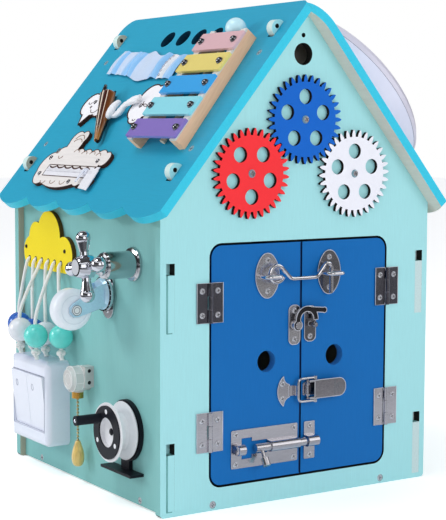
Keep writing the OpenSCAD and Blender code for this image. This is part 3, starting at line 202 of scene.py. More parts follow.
# Materials, with the stretch of the wood's grain
UP = (1.0, 1.0, 0.07)
DEEP = (1.0, 0.07, 1.0)
mint = surface("mint paint", (170, 228, 232), 0.42, vary=0.03, bump=0.12, grain=UP, fine=700)
# Darker, greener copy of the mint paint for faces turned to the sides: painted shade
side_shade_mint = surface("mint with painted side shade", (137, 197, 195), 0.45, vary=0.03, bump=0.12, grain=UP, fine=700)
mint_edge = surface("mint edge", (212, 236, 232), 0.5, vary=0.06, bump=0.25)
ply_end = surface("plywood end", (196, 196, 184), 0.7, vary=0.14, bump=0.3, grain=(6.0, 0.6, 0.6),
                  fine=500)
ply_bare = surface("bare plywood", (236, 230, 218), 0.65, vary=0.04, bump=0.06, grain=DEEP, fine=350)
ply_inside = surface("inside plywood", (190, 184, 164), 0.7, vary=0.06, bump=0.12, grain=UP, fine=400)
teal = surface("teal roof paint", (44, 164, 198), 0.4, vary=0.04, bump=0.12, grain=DEEP, fine=600)
# Lighter copy of the roof teal for the roofs' outer edges: painted light
lit_roof_edge_teal = surface("roof edge with painted light", (62, 204, 232), 0.4, vary=0.05, bump=0.2, fine=700)
blue = surface("blue door paint", (20, 108, 182), 0.38, vary=0.04, bump=0.12, grain=UP, fine=700)
# Dark blue for the doors' edges, standing for the shade in the gaps around them: painted shade
door_edge_shade_blue = surface("blue door edge", (16, 44, 92), 0.55, vary=0.1, bump=0.2, fine=700)
# Paler blue than the door paint for the walls of the finger holes: painted light
hole_wall_lit_blue = surface("blue hole edge", (58, 136, 214), 0.45, vary=0.05, fine=600)
# Dark inner cut faces of the gable panels: partly the laser burn, partly painted shade in the slots and
# openings
burnt_and_shaded_cut = surface("dark cut edge", (46, 44, 42), 0.8, vary=0.3, bump=0.3, fine=500)
# Darker teal for the walls of the roofs' holes and slots: painted shade
roof_hole_shade_teal = surface("roof hole edge", (16, 66, 92), 0.7, vary=0.2, bump=0.2, fine=500)
# Near black for the screws' cross recesses and for the screws by the cloud: painted shade
shaded_recess = surface("screw recess", (40, 40, 44), 0.6, 0.5)
burnt = surface("burnt edge", (38, 26, 20), 0.75, vary=0.35, bump=0.3, fine=500)
cloud_edge = surface("cloud cut edge", (92, 70, 30), 0.75, vary=0.3, bump=0.3, fine=500)
cloud_yellow = surface("yellow cloud paint", (250, 225, 34), 0.42, vary=0.05, bump=0.1, fine=700)
zinc = surface("zinc plated steel", (206, 204, 208), 0.2, 1.0, vary=0.08, bump=0.03, edge=0.0005)
plate_zinc = surface("satin zinc plate", (214, 212, 216), 0.27, 1.0, vary=0.1, bump=0.03, edge=0.0008)
# Darker copy of the zinc for the hook eye and the latch catch: painted dark reflection
zinc_painted_dark = surface("zinc plate with painted dark reflection", (150, 149, 154), 0.22, 1.0, vary=0.12, bump=0.03, edge=0.0008)
# Pale tubes along metal edges: painted highlight
painted_highlight_edge = surface("painted highlight edge", (226, 227, 234), 0.3, 0.6)
# Darker copy of the steel for the toggle lever: painted dark reflection
lever_painted_dark = surface("lever steel", (166, 163, 168), 0.2, 1.0, vary=0.2, bump=0.04, fine=700)
# Darker face of the swing latch arm: painted dark reflection
latch_face_painted_dark = surface("dark latch face", (104, 102, 106), 0.14, 1.0, vary=0.1, fine=700)
wire_zinc = surface("zinc wire", (226, 224, 228), 0.13, 1.0)
tab_shade = surface("tab shade", (112, 172, 172), 0.6, vary=0.1, fine=600)
tab_pale = surface("tab end", (202, 224, 224), 0.6, vary=0.08, fine=600)
steel = surface("brushed steel", (204, 202, 208), 0.17, 1.0, vary=0.12, bump=0.03,
                grain=(0.1, 1.0, 1.0), fine=1500, edge=0.0005)
# Darker copy of the brushed steel for the upper hinge leaves: painted dark reflection
steel_painted_dark = surface("brushed steel with painted dark reflection", (150, 148, 158), 0.17, 1.0, vary=0.2, bump=0.03, fine=1500,
                      edge=0.0005)
# Brighter, less metallic heads for the screws of the door fittings: painted highlight
screw_head_painted_highlight = surface("screw head", (222, 222, 228), 0.2, 0.62, vary=0.05, edge=0.0003)
# Darker copy of the chrome for the bar studs: painted dark reflection
stud_painted_dark = surface("stud metal", (120, 122, 128), 0.12, 1.0, vary=0.1)
roof_screw = surface("roof screw", (132, 170, 184), 0.45, 0.2, vary=0.1)
chrome = surface("chrome", (216, 218, 226), 0.07, 1.0)
# Darker, greyer copy of the chrome for the tap body: painted dark reflection
tap_chrome_painted_dark = surface("tap barrel chrome", (196, 198, 202), 0.09, 1.0)
dull_chrome = surface("dull chrome", (212, 212, 216), 0.14, 1.0, vary=0.06, edge=0.0009)
brass = surface("brass", (214, 164, 80), 0.25, 1.0, vary=0.12, bump=0.05)
chain_metal = surface("chain metal", (190, 172, 128), 0.28, 1.0, vary=0.15)
white_gloss = surface("white plastic", (236, 241, 255), 0.2, vary=0.015, fine=200, coat=0.3)
rocker_white = surface("white rocker plastic", (238, 242, 254), 0.16, vary=0.01, fine=200, coat=0.4)
grey_mark = surface("grey mark", (140, 146, 168), 0.3)
caster_white = surface("caster wheel", (240, 246, 255), 0.28, vary=0.03, bump=0.03, fine=300, coat=0.2)
caster_steel = surface("caster fork", (198, 232, 255), 0.28, 0.35, vary=0.08, bump=0.03, fine=700,
                       edge=0.001)
clear = surface("clear plastic", (255, 255, 252), 0.06, vary=0.02, fine=250, Transmission_Weight=0.45,
                IOR=1.4)
rib_clear = surface("clear plastic ribs", (255, 255, 255), 0.1, Transmission_Weight=0.2, coat=0.5)
pale_disc = surface("index disc", (206, 208, 214), 0.35, coat=0.3)
# Grey ring on the caster wheel's side for its groove: painted shade
wheel_groove_shade = surface("wheel line", (222, 230, 240), 0.3)
# Near black rings and discs in gaps and holes: painted shade
shade_ring_dark = surface("dark ring", (30, 32, 36), 0.5)
# Grey lines around the axle nut and on the toggle pad: painted shade
shade_ring_grey = surface("grey ring", (112, 122, 130), 0.4)
# Grey lines in the seams of the switch and the clock (painted shade), and the lace's pattern
seam_shade_and_lace_grey = surface("seam shade and lace grey", (150, 152, 172), 0.5)
bezel_white = surface("clock bezel", (216, 213, 228), 0.3, vary=0.015, fine=150, coat=0.2)
# Pale, non-metal grey for the caster's axle nut and bearing balls: painted highlight
zinc_painted_highlight = surface("pale zinc", (226, 230, 232), 0.4, vary=0.05)
black_plastic = surface("black plastic", (26, 28, 36), 0.42, vary=0.12, bump=0.1, fine=800)
reel_white = surface("white spool", (238, 238, 242), 0.32, vary=0.02, bump=0.03, fine=300)
beech = surface("beech", (255, 202, 164), 0.55, vary=0.1, bump=0.12, grain=(0.05, 1.0, 1.0), fine=520,
                tilt=-SLOPE)
felt = surface("felt", (226, 222, 216), 0.95, vary=0.1, bump=0.6, fine=1500)
bar_colours = [(232, 188, 194), (242, 222, 126), (58, 172, 242), (150, 230, 244), (142, 120, 200)]
bar_mats = [surface("bar paint %d" % (i + 1), c, 0.24, vary=0.02, bump=0.02, fine=500, coat=0.35)
            for i, c in enumerate(bar_colours)]
ball_blue = surface("mallet ball", (206, 244, 255), 0.22, vary=0.03, fine=250, coat=0.2)
stick_wood = surface("mallet stick", (226, 206, 180), 0.5, vary=0.1, bump=0.1, grain=(0.2, 1, 0.2),
                     fine=500)
fig_ply = surface("figure plywood", (234, 229, 226), 0.6, vary=0.08, bump=0.15, grain=DEEP, fine=400)
fig_white = surface("white figure paint", (250, 249, 253), 0.5, vary=0.03, bump=0.1, fine=500)
fig_line = surface("figure drawing", (152, 122, 104), 0.7, vary=0.2, fine=600)
fig_edge = surface("figure burnt edge", (74, 46, 38), 0.75, vary=0.35, bump=0.3, fine=600)
tape_white = surface("zip tape", (236, 236, 242), 0.9, vary=0.06, bump=0.7, fine=2200)
clip_black = surface("clip black", (22, 20, 22), 0.25, vary=0.2, fine=300, coat=0.5)
clock_white = surface("clock case", (228, 230, 248), 0.25, vary=0.015, fine=150, coat=0.25)
dial_white = surface("clock dial", (246, 246, 248), 0.6, vary=0.01, bump=0.05, fine=600)
ink = surface("dial ink", (30, 32, 40), 0.6)
cord_cotton = surface("cotton cord", (252, 251, 248), 0.92, vary=0.1, bump=0.9, fine=1800)
satin = surface("satin ribbon", (146, 202, 250), 0.3, vary=0.05, bump=0.1, grain=(1, 8, 1), fine=700,
                Sheen_Weight=0.4)
organza = surface("organza", (200, 220, 247), 0.5, vary=0.06, bump=0.3, fine=2600, Sheen_Weight=0.5)
lace = surface("lace", (240, 244, 250), 0.8, vary=0.1, bump=0.9, fine=1600)
yarn = surface("white yarn", (246, 248, 253), 0.95, vary=0.05, bump=0.5, fine=1700, Sheen_Weight=0.5)
bob_wood = surface("bob wood", (244, 204, 118), 0.3, vary=0.3, bump=0.06, grain=(1, 1, 0.12), fine=420,
                   coat=0.7)

# Stripes across the hair clip's shell: dark and brown bands of its pattern, with cream lines that are
# painted highlights on its flutes; and the share of honey brown along it
MAROON = (46, 18, 14)
CREAM_HIGHLIGHT = (246, 226, 204)
HONEY = (182, 120, 48)
STRIPES = [(0.0, (150, 92, 38)), (0.2, (80, 36, 18)), (0.29, MAROON), (0.31, CREAM_HIGHLIGHT), (0.34, CREAM_HIGHLIGHT),
           (0.36, MAROON), (0.52, (40, 20, 16)), (0.535, CREAM_HIGHLIGHT), (0.58, CREAM_HIGHLIGHT), (0.595, MAROON),
           (0.72, (74, 30, 18)), (0.78, (60, 24, 16)), (0.795, CREAM_HIGHLIGHT), (0.825, CREAM_HIGHLIGHT), (0.84, (92, 42, 18)),
           (0.92, (124, 66, 26)), (1.0, (158, 98, 40))]
TIP = [(0.0, (0, 0, 0)), (0.72, (0, 0, 0)), (0.9, (220, 220, 220)), (1.0, (235, 235, 235))]


def striped_shell():
    m = surface("striped shell", (90, 44, 18), 0.12, coat=0.7)
    tree = m.node_tree.nodes
    where = add_node(tree, "TexCoord")
    parts = add_node(tree, "SeparateXYZ")
    mix = colour_mix(tree, {MIX_B: rgba(HONEY)})
    wire(m, [(where, "UV", parts, "Vector")])
    for axis, stops, socket in (("X", STRIPES, MIX_A), ("Y", TIP, "Factor")):
        ramp = add_node(tree, "ValToRGB")
        set_stops(ramp, [(at, rgba(c)) for at, c in stops])
        wire(m, [(parts, axis, ramp, "Fac"), (ramp, "Color", mix, socket)])
    wire(m, [(mix, MIX_OUT, tree["Principled BSDF"], "Base Color")])
    return m


shell = striped_shell()


# Each face of a solid gets the material that pick names from the face's centre, in millimetres, and normal
def paint(name, mats, pick=None):
    me = nodes[name].data
    me.materials.clear()
    for m in mats:
        me.materials.append(m)
    n = len(me.polygons)
    index = np.zeros(n, np.int32)
    if pick:
        centre = np.zeros(n * 3)
        normal = np.zeros(n * 3)
        me.polygons.foreach_get("center", centre)
        me.polygons.foreach_get("normal", normal)
        index = np.asarray(pick(centre.reshape(-1, 3) * 1000.0, normal.reshape(-1, 3)), np.int32)
    me.polygons.foreach_set("material_index", np.ascontiguousarray(index))
    me.update()


FLAT = 0.9
NEAR = 0.5


def between(values, ends):
    return (values > ends[0]) & (values < ends[1])


def flat_faces(axis):
    return lambda c, n: np.where(np.abs(n @ axis) > FLAT, 0, 1)


# Painted plywood of the house
TAB_U = (34.5, 211.0)
TAB_HOLE = (11.8, 2.7)
EAVE_GAP = 2.0


def gable_index(c, n):
    u = np.abs(c[:, 0]) * COS + (APEX - c[:, 2]) * SIN
    h = np.abs(c[:, 0]) * SIN - (APEX - c[:, 2]) * COS
    side = (np.abs(c[:, 0]) > HALF_W - NEAR) & (c[:, 2] < EAVE + EAVE_GAP)
    outer = side | (c[:, 2] < NEAR) | (h > -NEAR)
    for tab in TAB_U:
        outer &= np.hypot(u - tab, h - TAB_HOLE[0]) > TAB_HOLE[1]
    # Faces turned to the sides of the panels get the darker mint: painted shade
    return np.where(np.abs(n[:, 1]) > FLAT, 0, np.where(side, 3, np.where(outer, 1, 2)))


def panel_index(inward):
    return lambda c, n: np.where(n[:, 1] * inward > FLAT, 4, gable_index(c, n))


def wall_index(inward):
    def pick(c, n):
        side = np.where(n[:, 0] * inward > FLAT, 3, 0)
        return np.where(n[:, 1] < -FLAT, 1, np.where(n[:, 1] > FLAT, 2, side))
    return pick


# The darker mint in these lists is painted shade on the faces turned to the sides
panel_mats = [mint, mint_edge, burnt_and_shaded_cut, side_shade_mint, ply_inside]
paint("front_panel", panel_mats, panel_index(1))
paint("back_panel", panel_mats, panel_index(-1))
paint("left_wall", [side_shade_mint, mint, ply_end, ply_inside], wall_index(1))
paint("right_wall", [side_shade_mint, tab_pale, ply_end, ply_inside], wall_index(-1))
ROOF_ENDS = (-14.0, 328.0)
ROOF_RUN = (20.0, 247.0)


def roof_index(out, down):
    def pick(c, n):
        u = (c - RIDGE) @ down
        ends = (c[:, 1] < ROOF_ENDS[0]) | (c[:, 1] > ROOF_ENDS[1])
        side = np.where(ends | (u > ROOF_RUN[1]) | (u < ROOF_RUN[0]), 2, 3)
        # Inner cut faces get the darker teal: painted shade
        return np.where(n @ out > FLAT, 0, np.where(n @ out < -FLAT, 1, side))
    return pick


# The lighter teal on the roofs' outer edges is painted light
roof_mats = [teal, ply_bare, lit_roof_edge_teal, roof_hole_shade_teal]
paint("roof_left", roof_mats, roof_index(ROOF_OUT, ROOF_DOWN))
paint("roof_right", roof_mats, roof_index(FAR_OUT, FAR_DOWN))
DOOR_Z = (23.8, 253.7)
INNER_X = (5.8, 99.2)
INNER_Z = (28.8, 248.7)


def door_index(c, n):
    hole = between(np.abs(c[:, 0]), INNER_X) & between(c[:, 2], INNER_Z)
    # Door edges get the dark blue (painted shade); finger hole walls get the paler blue (painted light)
    return np.where(np.abs(n[:, 1]) > FLAT, 0, np.where(hole, 2, 1))


for name in ("left_door", "right_door"):
    paint(name, [blue, door_edge_shade_blue, hole_wall_lit_blue], door_index)
for name, colour, vary in (("red", (255, 56, 62), 0.03), ("blue", (22, 104, 204), 0.03),
                           ("white", (244, 244, 252), 0.02)):
    gear_paint = surface(name + " gear paint", colour, 0.38, vary=vary, bump=0.08, fine=700)
    paint("gear_" + name, [gear_paint, burnt], flat_faces(BACK))
paint("cloud", [cloud_yellow, cloud_edge], flat_faces(OUT))

# Pieces of one material
plain = {"floor_panel": ply_bare, "cabin_hook": wire_zinc, "bolt_rod": zinc, "bolt_guide": steel,
         "bolt_keeper": steel, "swing_latch_plate": plate_zinc, "swing_latch_catch": zinc_painted_dark,
         "toggle_keeper": steel, "toggle_base": steel, "toggle_lever": lever_painted_dark,
         "toggle_bail": dull_chrome, "caster_plate": dull_chrome, "tap_body": tap_chrome_painted_dark,
         "xylophone_studs": stud_painted_dark, "caster_wheel": caster_white, "switch_box": white_gloss,
         "zip_slider": rocker_white, "rocker_left": rocker_white, "rocker_right": rocker_white,
         "reel_frame": black_plastic, "clip_base": clip_black, "clip_jaw": shell, "hour_hand": ink,
         "minute_hand": ink}
for name, mat in plain.items():
    paint(name, [mat])

# Metal fittings
HEAD_FOOT = 1.25
HEAD_TOP = 2.3
HEAD_SLIP = 0.05
STEEP = 0.1
ROOF_LOW = 292.0
ROOF_HEAD = 0.6
CLOUD_OUT = 3.0
CLOUD_Y = 195.0
CLOUD_Z = (215.0, ROOF_LOW)


def screw_index(c, n):
    # Cross recesses, and the screws by the cloud all over, get the near black: painted shade
    head = c[:, 1] < -HEAD_FOOT
    cross = head & (np.abs(n[:, 1]) < STEEP)
    cross |= head & (c[:, 1] > -HEAD_TOP + HEAD_SLIP) & (n[:, 1] < -FLAT)
    cloud = (c[:, 0] < -WALL - CLOUD_OUT) & (c[:, 1] > CLOUD_Y)
    cross |= cloud & between(c[:, 2], CLOUD_Z)
    off = np.where(c[:, 0] < 0, (c - RIDGE) @ ROOF_OUT, (c - RIDGE) @ FAR_OUT)
    roof = (c[:, 2] > ROOF_LOW) & (np.abs(n[:, 1]) < FLAT) & (off < ROOF_T + ROOF_HEAD)
    # Screws of the door fittings get the brighter heads: painted highlight
    fitting = (c[:, 1] < 0) & (c[:, 2] < DOOR_Z[1])
    return np.where(cross, 1, np.where(roof, 2, np.where(fitting, 3, 0)))


for name in ("house_screws", "left_door_screws", "right_door_screws"):
    paint(name, [zinc, shaded_recess, roof_screw, screw_head_painted_highlight], screw_index)
# Hinge leaves above the middle get the darker steel: painted dark reflection
HINGE_MID = 138.0
for name in ("hinge_frame_leaves", "left_hinge_leaves", "right_hinge_leaves"):
    paint(name, [steel, steel_painted_dark], lambda c, n: np.where(c[:, 2] > HINGE_MID, 1, 0))
CABIN_PLATE_T = 2.2
for name, mat in (("cabin_hook_staple", plate_zinc), ("cabin_hook_eye", zinc_painted_dark)):
    paint(name, [mat, wire_zinc], lambda c, n: np.where(c[:, 1] > -CABIN_PLATE_T, 0, 1))
paint("swing_latch_arm", [latch_face_painted_dark, dull_chrome], flat_faces(BACK))
DISC_OUT = 62.6
paint("tap_handle", [chrome, pale_disc],
      lambda c, n: np.where((c[:, 0] < -WALL - DISC_OUT) & (n[:, 0] < -FLAT), 1, 0))

# Plastic and wooden toys
AXLE = wall_point(42.3, 111.0, 188.0)
NUT_R = 5.0
NUT_FROM = 11.6
CUP_RIM = 6.5


def fork_index(c, n):
    off = np.hypot(c[:, 0] - AXLE[0], c[:, 2] - AXLE[2])
    nut = (off < NUT_R) & (np.abs(c[:, 1] - AXLE[1]) > NUT_FROM)
    return np.where(nut, 1, np.where(c[:, 0] > -WALL - CUP_RIM, 2, 0))


paint("caster_fork", [caster_steel, zinc_painted_highlight, dull_chrome], fork_index)
COLLAR_TOP = 96.7
paint("pull_switch_body", [clear, brass], lambda c, n: np.where(c[:, 2] < COLLAR_TOP, 1, 0))
FLANGE_OUT = 23.6
paint("reel_spool", [reel_white, black_plastic], lambda c, n: np.where(c[:, 0] < -WALL - FLANGE_OUT, 1, 0))
RAIL_TOP = 12.51
paint("xylophone_rails", [beech, felt],
      lambda c, n: np.where((c - roof_point(0, 0, RAIL_TOP)) @ ROOF_OUT > 0.0, 1, 0))
BARS = len(bar_mats)
BAR_FIRST = 62.5
BAR_STEP = 27.5
paint("xylophone_bars", bar_mats,
      lambda c, n: np.clip(np.round(((c - RIDGE) @ ROOF_DOWN - BAR_FIRST) / BAR_STEP), 0, BARS - 1))
BALL_AT = roof_point(40.8, 56, 10.9)
BALL_R = 10.8
paint("mallet", [ball_blue, stick_wood],
      lambda c, n: np.where(np.linalg.norm(c - BALL_AT, axis=1) > BALL_R, 1, 0))
ZIP_SLOT = (213.54, 227.96)
ZIP_END = 254.97
TAPE_H = 3.31
TAIL_H = 4.01


def zip_index(c, n):
    h = (c - RIDGE) @ ROOF_OUT - ROOF_T
    u = (c - RIDGE) @ ROOF_DOWN
    in_slot = between(u, ZIP_SLOT) & (c[:, 1] < ZIP_END) & (h > TAPE_H)
    return np.where(in_slot | (h > TAIL_H), 2, flat_faces(ROOF_OUT)(c, n))


paint("zip_figure", [fig_ply, fig_edge, tape_white], zip_index)
paint("white_figure", [fig_white, fig_edge], flat_faces(ROOF_OUT))
CLOCK_AT = (132, 98)
DIAL_R = 92.0
DIAL_FROM = 20.0
BEZEL_R = 95.0
BEZEL_FROM = 24.5


def clock_index(c, n):
    h = (c - far_point(*CLOCK_AT, 0)) @ FAR_OUT
    out = np.linalg.norm(c - far_point(*CLOCK_AT, 0) - np.outer(h, FAR_OUT), axis=1)
    dial = (n @ FAR_OUT > FLAT) & (out < DIAL_R) & (h > DIAL_FROM)
    return np.where(dial, 1, np.where((h > BEZEL_FROM) & (out > BEZEL_R), 2, 0))


paint("clock_case", [clock_white, dial_white, bezel_white], clock_index)


# Meshes made here, in millimetres
def add_mesh(name, verts, faces, mats, body="house", smooth=True, index=None):
    me = bpy.data.meshes.new(name)
    me.from_pydata([tuple(np.asarray(v) / 1000.0) for v in verts], [], [tuple(f) for f in faces])
    for m in mats:
        me.materials.append(m)
    if smooth:
        me.polygons.foreach_set("use_smooth", [True] * len(me.polygons))
    if index is not None:
        me.polygons.foreach_set("material_index", index)
    me.update()
    ob = place(name, me)
    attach(ob, body)
    return ob


# A round curve through the points
def smooth_path(points, per=8):
    p = np.asarray(points, float)
    q = np.vstack([2 * p[0] - p[1], p, 2 * p[-1] - p[-2]])
    out = []
    for i in range(1, len(q) - 2):
        a, b, c, d = q[i - 1], q[i], q[i + 1], q[i + 2]
        for k in range(per):
            t = k / per
            out.append(0.5 * (2 * b + (c - a) * t + (2 * a - 5 * b + 4 * c - d) * t * t
                              + (3 * b - a - 3 * c + d) * t ** 3))
    out.append(p[-1])
    return np.array(out)


def turns(count):
    return np.linspace(0, TURN, count, endpoint=False)


def oval(centre, a, b, count):
    return [centre + math.cos(q) * a + math.sin(q) * b for q in turns(count)]


# Faces between rings of points, and from the last ring to the first where closed
def ring_faces(rings, sides, closed=False):
    faces = []
    for i in range(rings if closed else rings - 1):
        j = (i + 1) % rings
        for k in range(sides):
            m = (k + 1) % sides
            faces.append((i * sides + k, i * sides + m, j * sides + m, j * sides + k))
    return faces


# Faces of a grid of points, row by row; flip turns them over
def grid_faces(rows, columns, flip=False):
    faces = []
    for i in range(rows):
        for j in range(columns):
            a = i * (columns + 1) + j
            b = a + columns + 1
            faces.append((a, a + 1, b + 1, b) if flip else (a, b, b + 1, a + 1))
    return faces


# A round tube along a path
SIDE_HINT = (0.3, 0.2, 0.93)


def sweep(path, radius, sides=12, closed=False):
    path = np.asarray(path, float)
    n = len(path)
    radius = np.broadcast_to(np.asarray(radius, float), (n,))
    if closed:
        along = np.roll(path, -1, 0) - np.roll(path, 1, 0)
    else:
        along = np.gradient(path, axis=0)
    along /= np.linalg.norm(along, axis=1)[:, None]
    side = np.cross(along[0], SIDE_HINT)
    verts = []
    for i in range(n):
        side = side - along[i] * (side @ along[i])
        side /= np.linalg.norm(side)
        other = np.cross(along[i], side)
        verts.extend(oval(path[i], radius[i] * side, radius[i] * other, sides))
    faces = ring_faces(n, sides, closed)
    if not closed:
        faces.append(tuple(range(sides - 1, -1, -1)))
        faces.append(tuple((n - 1) * sides + k for k in range(sides)))
    return verts, faces


def join_parts(parts):
    verts = []
    faces = []
    for v, f in parts:
        base = len(verts)
        verts.extend(v)
        faces.extend(tuple(i + base for i in g) for g in f)
    return verts, faces


# Two directions square to an axis
AXIS_HINT = (0.31, 0.87, 0.38)


def square_to(axis):
    first = np.cross(axis, AXIS_HINT)
    first /= np.linalg.norm(first)
    return first, np.cross(axis, first)


# A turned shape from radii and heights along its axis
def lathe(profile, centre, axis, sides=48):
    first, second = square_to(axis)
    verts = []
    for r, h in profile:
        verts.extend(oval(centre + axis * h, r * first, r * second, sides))
    return verts, ring_faces(len(profile), sides)


def ring_at(centre, axis, radius, tube, sides=40):
    first, second = square_to(axis)
    return sweep(oval(centre, radius * first, radius * second, sides), tube, 6, True)


def dressing(name, parts, mat, body="house"):
    ob = add_mesh(name, *join_parts(parts), [mat], body)
    return ob


# Cords of the cloud with their knots and beads
CORD_R = 1.95
BEAD_R = 12.5
BORE = 2.6
BEAD_RINGS = 24
BORE_ANGLE = math.asin(BORE / BEAD_R)
KNOT_R = 1.8
KNOT_SIZE = 1.2
TAIL_R = 2.4
HOLE_Z = 223.0
hole_y = [282, 267, 252, 236.5, 221.5, 206.5]
bead_at = [(14, 291, 151), (14, 257, 148), (36, 241, 152), (14, 226, 148),
           (33.5, 208.5, 149), (14, 189.5, 149)]
bead_mats = [surface(name + " bead", colour, 0.26, vary=vary, fine=250, coat=0.25)
             for name, colour, vary in (("blue", (28, 98, 196), 0.04), ("white", (236, 239, 246), 0.02),
                                        ("turquoise", (104, 226, 216), 0.03))]
bead_profile = [(BORE, math.sqrt(BEAD_R ** 2 - BORE ** 2))]
for k in range(1, BEAD_RINGS):
    a = BORE_ANGLE + (math.pi - 2 * BORE_ANGLE) * k / BEAD_RINGS
    bead_profile.append((BEAD_R * math.sin(a), BEAD_R * math.cos(a)))
bead_profile.append((BORE, -bead_profile[0][1]))
bead_profile.append(bead_profile[0])


def trefoil(centre, size, radius):
    t = turns(72)
    p = np.stack([np.sin(t) + 2 * np.sin(2 * t), -0.9 * np.sin(3 * t), np.cos(t) - 2 * np.cos(2 * t)], 1)
    return sweep(centre + p * size, radius, 8, True)


for i, ((off, at, mid), y) in enumerate(zip(bead_at, hole_y)):
    low = mid - BEAD_R
    aside = at - y
    route = [(0.8, y, HOLE_Z), (4.6, y, HOLE_Z - 0.2), (7.4, y + aside * 0.03, HOLE_Z - 3),
             (8.4 + (off - 8) * 0.08, y + aside * 0.12, HOLE_Z - 9),
             (9 + (off - 9) * 0.55, y + aside * 0.5, (HOLE_Z + mid) / 2 + 6),
             (off, at, mid + BEAD_R + 6), (off, at, mid), (off, at, low - 2.4)]
    path = smooth_path([wall_point(*p) for p in route], 8)
    cord = add_mesh("cord_%d" % (i + 1), *sweep(path, CORD_R, 12), [cord_cotton])
    bead_mid = wall_point(off, at, mid)
    bead = add_mesh("bead_%d" % (i + 1), *lathe(bead_profile, bead_mid, UPRIGHT), [bead_mats[i // 2]])
    tail_route = [(off, at, low - 6.5), (off - 0.6, at - 0.8, low - 9.5), (off - 0.3, at - 1.6, low - 12)]
    tail = smooth_path([wall_point(*p) for p in tail_route], 5)
    knot_parts = [trefoil(wall_point(off, at, low - 5.4), KNOT_SIZE, KNOT_R),
                  sweep(tail, np.linspace(KNOT_R, TAIL_R, len(tail)), 10)]
    knot = add_mesh("knot_%d" % (i + 1), *join_parts(knot_parts), [cord_cotton])
    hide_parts("cloud_cords")
    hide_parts("cloud_beads")


# Gathered ribbon: each fold has a start, an end, a cloth (satin, organza or lace) and a height
rib_folds = [(0.0, 0.05, 1, 0.6), (0.05, 0.13, 0, 3.4), (0.13, 0.23, 1, 1.0), (0.23, 0.31, 0, 1.6),
             (0.31, 0.4, 0, 3.8), (0.4, 0.68, 1, 1.6), (0.68, 0.79, 0, 5.0), (0.79, 0.88, 2, 2.6),
             (0.88, 1.0, 0, 2.8)]
RIB_LOOSE = (0.34, 0.74)
RIB_AT = (73.0, 208.0)
RIB_LONG = 150.0
RIB_WIDE = 32.0
RIB_TURN = math.radians(-5)
RIB_LIE = 2.0
RIB_ARCH = 1.6
RIB_LEAST = 0.7


def fold_at(s):
    for fold in rib_folds:
        if s <= fold[1]:
            return fold
    return rib_folds[-1]


def wave(s, count, start):
    return math.sin(TURN * count * s + start)


# The ribbon's point at the share s along it and t across it; the waves are given here
def ribbon_point(s, t):
    start, end, _, height = fold_at(s)
    arch = math.sin(math.pi * t)
    bulge = math.sin(math.pi * ((s - start) / (end - start)) ** 1.5)
    lift = RIB_LIE + height * bulge * (0.5 + 0.5 * arch) + RIB_ARCH * arch + 0.3 * math.sin(30 * s + 5 * t)
    low, high = RIB_LOOSE
    middle = math.sin(math.pi * (s - low) / (high - low)) if low < s < high else 0.0
    across = (s - 0.5) * RIB_LONG + wave(s, 3, 2.0) * (t - 0.5)
    hem = 1.5 + 5.5 * middle + 0.5 * wave(s, 4, 0.4) - 4.0 * max(0.0, s - 0.8)
    crest = 2.4 * middle * math.cos(TURN * 3.3 * (s - 0.47)) + 0.6 * wave(s, 4, 1.2) - 0.8
    along = (t - 0.5) * RIB_WIDE - hem * (1.0 - t) + crest * t
    x = across * math.cos(RIB_TURN) - along * math.sin(RIB_TURN)
    up = across * math.sin(RIB_TURN) + along * math.cos(RIB_TURN)
    return roof_point(RIB_AT[0] - up, RIB_AT[1] - x, max(RIB_LEAST, lift))


RIB_S = 300
RIB_T = 26
rib_grid = np.array([[ribbon_point(i / RIB_S, j / RIB_T) for j in range(RIB_T + 1)]
                     for i in range(RIB_S + 1)])
rib_index = [fold_at((i // RIB_T + 0.5) / RIB_S)[2] for i in range(RIB_S * RIB_T)]
ribbon = add_mesh("ribbon_cloth", rib_grid.reshape(-1, 3), grid_faces(RIB_S, RIB_T), [satin, organza, lace],
                  index=rib_index)
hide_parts("ribbon")
LACE_AT = 0.835
LACE_LIFT = 0.25
LACE_HALF = (1.7, 1.9)
LACE_TUBE = 0.3
lace_parts = []
for k in range(6):
    spot = ribbon_point(LACE_AT, 0.12 + 0.15 * k) + ROOF_OUT * LACE_LIFT
    lace_parts.append(sweep(oval(spot, LACE_HALF[0] * BACK, LACE_HALF[1] * UPHILL, 16), LACE_TUBE, 6, True))
lace_rings = dressing("lace_rings", lace_parts, seam_shade_and_lace_grey)

# Doubled soft cord of white yarn with its knot
STRAND_R = 2.4
STRAND_OFF = 2.0
LOOP_AT = (141.0, 193.5, 8.8)
LOOP_HALF = (9.4, 2.0)
LOOP_RISE = 0.9
LOOP_R = 2.9
braid_route = [(143, 198, 7.4), (145.5, 192, 5.4), (145, 186, 5.0), (141, 180, 6.2), (136, 174, 8.4),
               (132, 167, 9.0), (129, 160, 8.9), (127, 153, 8.6)]
braid_line = smooth_path([roof_point(*p) for p in braid_route], 14)
run = np.concatenate([[0.0], np.cumsum(np.linalg.norm(np.diff(braid_line, axis=0), axis=1))])
braid_along = np.gradient(braid_line, axis=0)
braid_along /= np.linalg.norm(braid_along, axis=1)[:, None]
braid_side = np.cross(braid_along, ROOF_OUT)
sway = STRAND_OFF + 0.25 * np.sin(TURN * run / 17.0)
braid_lift = 0.4 * np.sin(TURN * run / 26.0)
strand_r = STRAND_R + 0.15 * np.sin(TURN * run / 5.5)
braid_parts = []
for k in (-1, 1):
    strand = braid_line + k * (braid_side * sway[:, None] + ROOF_OUT * braid_lift[:, None])
    braid_parts.append(sweep(strand, strand_r, 14))
loop_path = [roof_point(*LOOP_AT) + LOOP_HALF[0] * math.sin(q) * UPHILL + LOOP_HALF[1] * math.cos(q) * BACK
             + LOOP_RISE * math.cos(2 * q) * ROOF_OUT for q in turns(48)]
braid_loop = dressing("braid_loop", [sweep(loop_path, LOOP_R, 14, True)], yarn)
